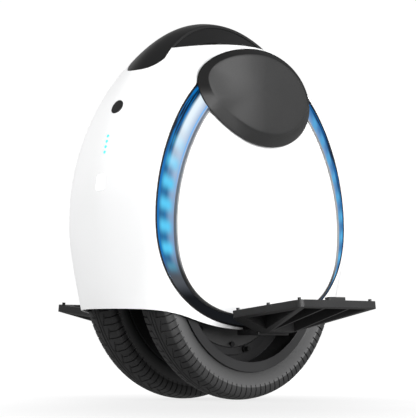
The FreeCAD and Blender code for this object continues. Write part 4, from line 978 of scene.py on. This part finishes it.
@dataclass
class LightBand:
    """Clear band round a side panel, lit from behind."""

    side: Side
    edge: float = 2.15
    lip: float = 0.15
    columns: int = 420
    rows: int = 14
    bulge: float = 0.9
    inner_depth: float = 86.5
    thickness: float = 1.6
    fine: int = 3600
    sharp_angle: float = 50.0

    def angles(self) -> list[float]:
        """Directions at equal steps along the band's middle, from its lowest place."""
        middle = Egg(*[(one + other) / 2 for one, other in zip(astuple(BAND_OUTER), astuple(BAND_INNER))])
        turns = [-math.pi / 2 + math.tau * step / self.fine for step in range(self.fine + 1)]
        spots = [Vector(middle.place(turn)) for turn in turns]
        lengths = [0.0]
        for first, second in zip(spots, spots[1:]):
            lengths.append(lengths[-1] + (second - first).length)
        index, found = 0, []
        for step in range(self.columns + 1):
            goal = lengths[-1] * step / self.columns
            while index < self.fine and lengths[index] < goal:
                index += 1
            found.append(turns[index])
        return found

    def build(self, shop: Workshop) -> None:
        """Lays the band between its two outlines.

        Args:
            shop: the workshop.
        """
        angles = self.angles()
        outer, inner = BAND_OUTER.grown(-self.edge), BAND_INNER.grown(self.lip)

        def place(along: float, across: float) -> Vector:
            """Point of the band at shares along and across it."""
            angle = angles[round(along * self.columns)]
            spot = Vector(outer.place(angle)).lerp(Vector(inner.place(angle)), across)
            lift = self.bulge * math.sin(math.pi * across)
            depth = BAND_OUTER_Y + (self.inner_depth - BAND_OUTER_Y) * across + lift
            return self.side.point(spot.x, depth, spot.y)

        mesh = shop.sheet(self.columns, self.rows, place)
        bmesh.ops.solidify(mesh, geom=mesh.faces, thickness=self.thickness * MM)
        piece = shop.piece("light_band_" + self.side.word, mesh, Body.CHASSIS, "lens_blue", self.sharp_angle)
        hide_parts("light_lens_" + self.side.word)


@dataclass
class LegPad:
    """Soft moulded leg pad with a crisp raised face, bent round the front of the body."""

    side: Side
    centre: tuple = (17.5, 401.7)
    half_length: float = 110.5
    half_height: float = 63.3
    face_centre: tuple = (23.5, 404.5)
    face_half_length: float = 97.5
    face_half_height: float = 51.0
    tilt: float = 7.0
    power: float = 1.9
    taper: float = -0.17
    bend_end: float = 134.0
    bend_drop: float = 26.0
    bend_thin: float = 0.5
    bend_slide: float = 1.06
    bend_climb: float = 0.2
    bend_blend: float = 2.0
    bend_rounds: int = 8
    ease_start: float = 1.015
    ease_width: float = 0.022
    ease_slope: float = 76.0
    ease_limit: float = 40.0
    foot_gap: float = 0.3
    deep_inset: float = 20.0
    columns: int = 144
    sharp_angle: float = 80.0
    # height over the panel, inset from the outline, share of the way to the raised face,
    # least height over the body
    rows: tuple = ((0.0, 60.0, 0.0, 0.3), (0.0, 10.0, 0.0, 0.3), (0.0, 3.0, 0.0, 0.3), (0.3, 2.4, 0.0, 0.4),
                   (0.9, 1.9, 0.0, 0.7), (1.6, 1.7, 0.0, 1.0), (2.0, 0.5, 0.0, 1.3), (2.6, 0.0, 0.0, 1.7),
                   (4.4, 0.1, 0.0, 2.4), (5.8, 1.0, 0.06, 2.9), (10.5, 0.0, 0.5, 4.2), (14.6, 0.0, 0.93, 5.5),
                   (15.6, 0.0, 1.0, 5.8), (16.4, 1.0, 1.0, 6.0), (16.8, 3.0, 1.0, 6.1),
                   (17.5, 10.0, 1.0, 6.6), (18.3, 24.0, 1.0, 7.2), (18.8, 38.0, 1.0, 7.6),
                   (19.0, 51.0, 1.0, 7.8))

    def outline(self, turn: float, inset: float, share: float) -> tuple[float, float]:
        """Place on the pad's outline.

        Args:
            turn: share of the way round.
            inset: how far inwards, in millimetres.
            share: 0 for the foot's outline, 1 for the raised face's.

        Returns:
            x and z of the place.
        """
        length = self.half_length + (self.face_half_length - self.half_length) * share
        height = self.half_height + (self.face_half_height - self.half_height) * share
        middle = [a + (b - a) * share for a, b in zip(self.centre, self.face_centre)]
        scale = max(0.0, 1 - inset / height)
        angle, tilt = math.tau * turn, math.radians(self.tilt)
        across, rise = math.cos(angle), math.sin(angle)
        narrow = inset * (length / height if inset > self.deep_inset else 1)
        full, high = (math.copysign(abs(part) ** (2 / self.power), part) for part in (across, rise))
        along = max(0.0, length - narrow) * full
        up = scale * height * high
        up *= 1 + self.taper * along / length
        return (middle[0] + along * math.cos(tilt) - up * math.sin(tilt),
                middle[1] + along * math.sin(tilt) + up * math.cos(tilt))

    def envelope(self, x: float, z: float) -> float:
        """Y of a smooth surface close over the panel, the light band and the shoulder."""
        beyond = (BAND_INNER.level(x, z) - self.ease_start) / self.ease_width
        soft = self.ease_width * (math.log1p(math.exp(beyond)) if beyond < self.ease_limit else beyond)
        return PANEL_FACE_Y - self.ease_slope * soft

    def bent(self, x: float, z: float, rise: float, least: float) -> Vector:
        """Bends a place of the flat pad round the front of the body.

        Args:
            x: forward place, in millimetres.
            z: height, in millimetres.
            rise: height over the panel.
            least: least height over the body.

        Returns:
            The bent place, on the left side.
        """
        ease = max(0.0, x / self.bend_end) ** 2
        free = PANEL_FACE_Y + rise
        goal = free - (self.bend_drop + self.bend_thin * rise) * ease
        drop = 0.0
        for _ in range(self.bend_rounds):
            under = self.envelope(x - self.bend_slide * drop, z + self.bend_climb * drop) + least
            mean, gap = (goal + under) / 2, (goal - under) / 2
            drop = max(0.0, free - mean - math.hypot(gap, self.bend_blend))
        return Vector((x - self.bend_slide * drop, free - drop, z + self.bend_climb * drop))

    def build(self, shop: Workshop) -> None:
        """Lays the pad's skin over its rows.

        Args:
            shop: the workshop.
        """
        last = len(self.rows) - 1

        def place(turn: float, over: float) -> Vector:
            """Point of the pad at shares round it and over it."""
            rise, inset, share, least = self.rows[round(over * last)]
            x, z = self.outline(turn, inset, share)
            point = self.bent(x, z, rise, least)
            if rise <= 0:
                point.y = body_surface_y(point.x, point.z) + self.foot_gap
            return self.side.point(*point)

        mesh = shop.sheet(self.columns, last, place)
        holes = [edge for edge in mesh.edges if edge.is_boundary]
        bmesh.ops.holes_fill(mesh, edges=holes, sides=0)
        bmesh.ops.recalc_face_normals(mesh, faces=mesh.faces)
        pad = shop.piece("soft_pad_" + self.side.word, mesh, Body.CHASSIS, "pad_black", self.sharp_angle)
        smooth = pad.modifiers.new("skin", "SUBSURF")
        smooth.levels = smooth.render_levels = 1
        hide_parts("leg_pad_" + self.side.word)


@dataclass
class Studio:
    """Floor, soft light and the camera at the photo's angle."""

    camera_place: tuple = (1.9780, 1.8606, 0.07005)
    look: tuple = (-0.72555, -0.68473, 0.06876)
    lens: float = 172.495
    sensor: float = 36.0
    floor_size: float = 30.0
    sky_high: float = 0.14
    sky_level: float = 0.42
    sky_low: float = 0.28
    sky_rise: Span = (-0.35, 0.1)
    sky_fall: Span = (0.3, 0.9)
    backdrop: float = 1.02
    aim: tuple = (0.0, 0.0, 0.25)
    # name, place in metres, size, power and whether it shows in reflections
    boxes: tuple = (("side_box", (0.3, 2.8, 1.0), 2.2, 125.0, True),
                    ("front_box", (2.2, -1.6, 1.4), 2.0, 76.0, False),
                    ("rear_box", (-2.4, -1.8, 1.3), 2.4, 80.0, False))

    def build(self, shop: Workshop) -> None:
        """Sets up the stage."""
        self._camera()
        self._floor(shop)
        self._sky()
        self._boxes()
        bpy.context.scene.view_settings.view_transform = "Standard"

    def _camera(self) -> None:
        """Adds the camera."""
        data = bpy.data.cameras.new("photo_camera")
        data.sensor_fit = "VERTICAL"
        data.sensor_height = self.sensor
        data.lens = self.lens
        camera = add_object("photo_camera", data)
        look_along(camera, self.camera_place, Vector(self.look))
        bpy.context.scene.camera = camera

    def _floor(self, shop: Workshop) -> None:
        """Adds the floor, which throws no light back up."""
        mesh = bmesh.new()
        bmesh.ops.create_grid(mesh, x_segments=1, y_segments=1, size=self.floor_size)
        data = bpy.data.meshes.new("floor")
        mesh.to_mesh(data)
        mesh.free()
        floor = add_object("floor", data)
        data.materials.append(FLOOR.build(shop.kit))
        floor.visible_diffuse = floor.visible_glossy = False

    def _sky(self) -> None:
        """Adds a white surround that lights the object softly from above."""
        world = bpy.data.worlds.new("studio")
        world.use_nodes = True
        links = Links(world.node_tree)
        sky = world.node_tree.nodes["Background"]
        links.feed(WHITE, sky.inputs["Color"])
        height = links.apart(links.where("Generated"))["Z"]
        lost = links.ramp(height, *self.sky_fall, 0.0, self.sky_level - self.sky_high)
        soft = links.math("SUBTRACT", links.ramp(height, *self.sky_rise, self.sky_low, self.sky_level), lost)
        seen = links.add("ShaderNodeLightPath").outputs["Is Camera Ray"]
        links.join(links.math("MAXIMUM", soft, links.times(seen, self.backdrop)), sky.inputs["Strength"])
        bpy.context.scene.world = world

    def _boxes(self) -> None:
        """Adds the soft boxes."""
        for name, place, size, power, shown in self.boxes:
            data = bpy.data.lights.new(name, "AREA")
            data.size = size
            data.energy = power
            lamp = add_object(name, data)
            look_along(lamp, place, Vector(self.aim) - Vector(place))
            lamp.visible_camera = False
            lamp.visible_glossy = shown


@dataclass
class Unicycle:
    """The whole object: the dressed frame and the pieces laid over it."""

    # widths of rounded edges in millimetres, for single nodes and for those on both sides
    single_edges: dict = field(default_factory=lambda: {
        "handle_cover": 0.8, "handle_bar": 1.5, "front_shell": 0.6, "rear_shell": 0.6, "power_button": 0.5,
        "charge_cap": 0.4,
    })
    paired_edges: dict = field(default_factory=lambda: {
        "pedal_": 2.0, "hanger_": 0.8, "rim_": 0.6, "motor_cover_": 0.8, "pedal_bumper_": 0.8,
        "pedal_studs_": 0.4, "band_rim_": 0.4, "light_tray_": 0.4,
    })

    def build(self, shop: Workshop) -> None:
        """Dresses the frame, then adds the pieces on both sides."""
        shop.dress_frame()
        for node, width in self.single_edges.items():
            shop.soften(node, width)
        for side in Side:
            for node, width in self.paired_edges.items():
                shop.soften(node + side.word, width)
            Tyre(side).build(shop)
            LightBand(side).build(shop)
            LegPad(side).build(shop)


def main() -> None:
    """Builds the stage and the object."""
    logging.basicConfig(level=logging.INFO, format="%(message)s")
    shop = Workshop()
    Studio().build(shop)
    Unicycle().build(shop)


if __name__ == "__main__":
    main()
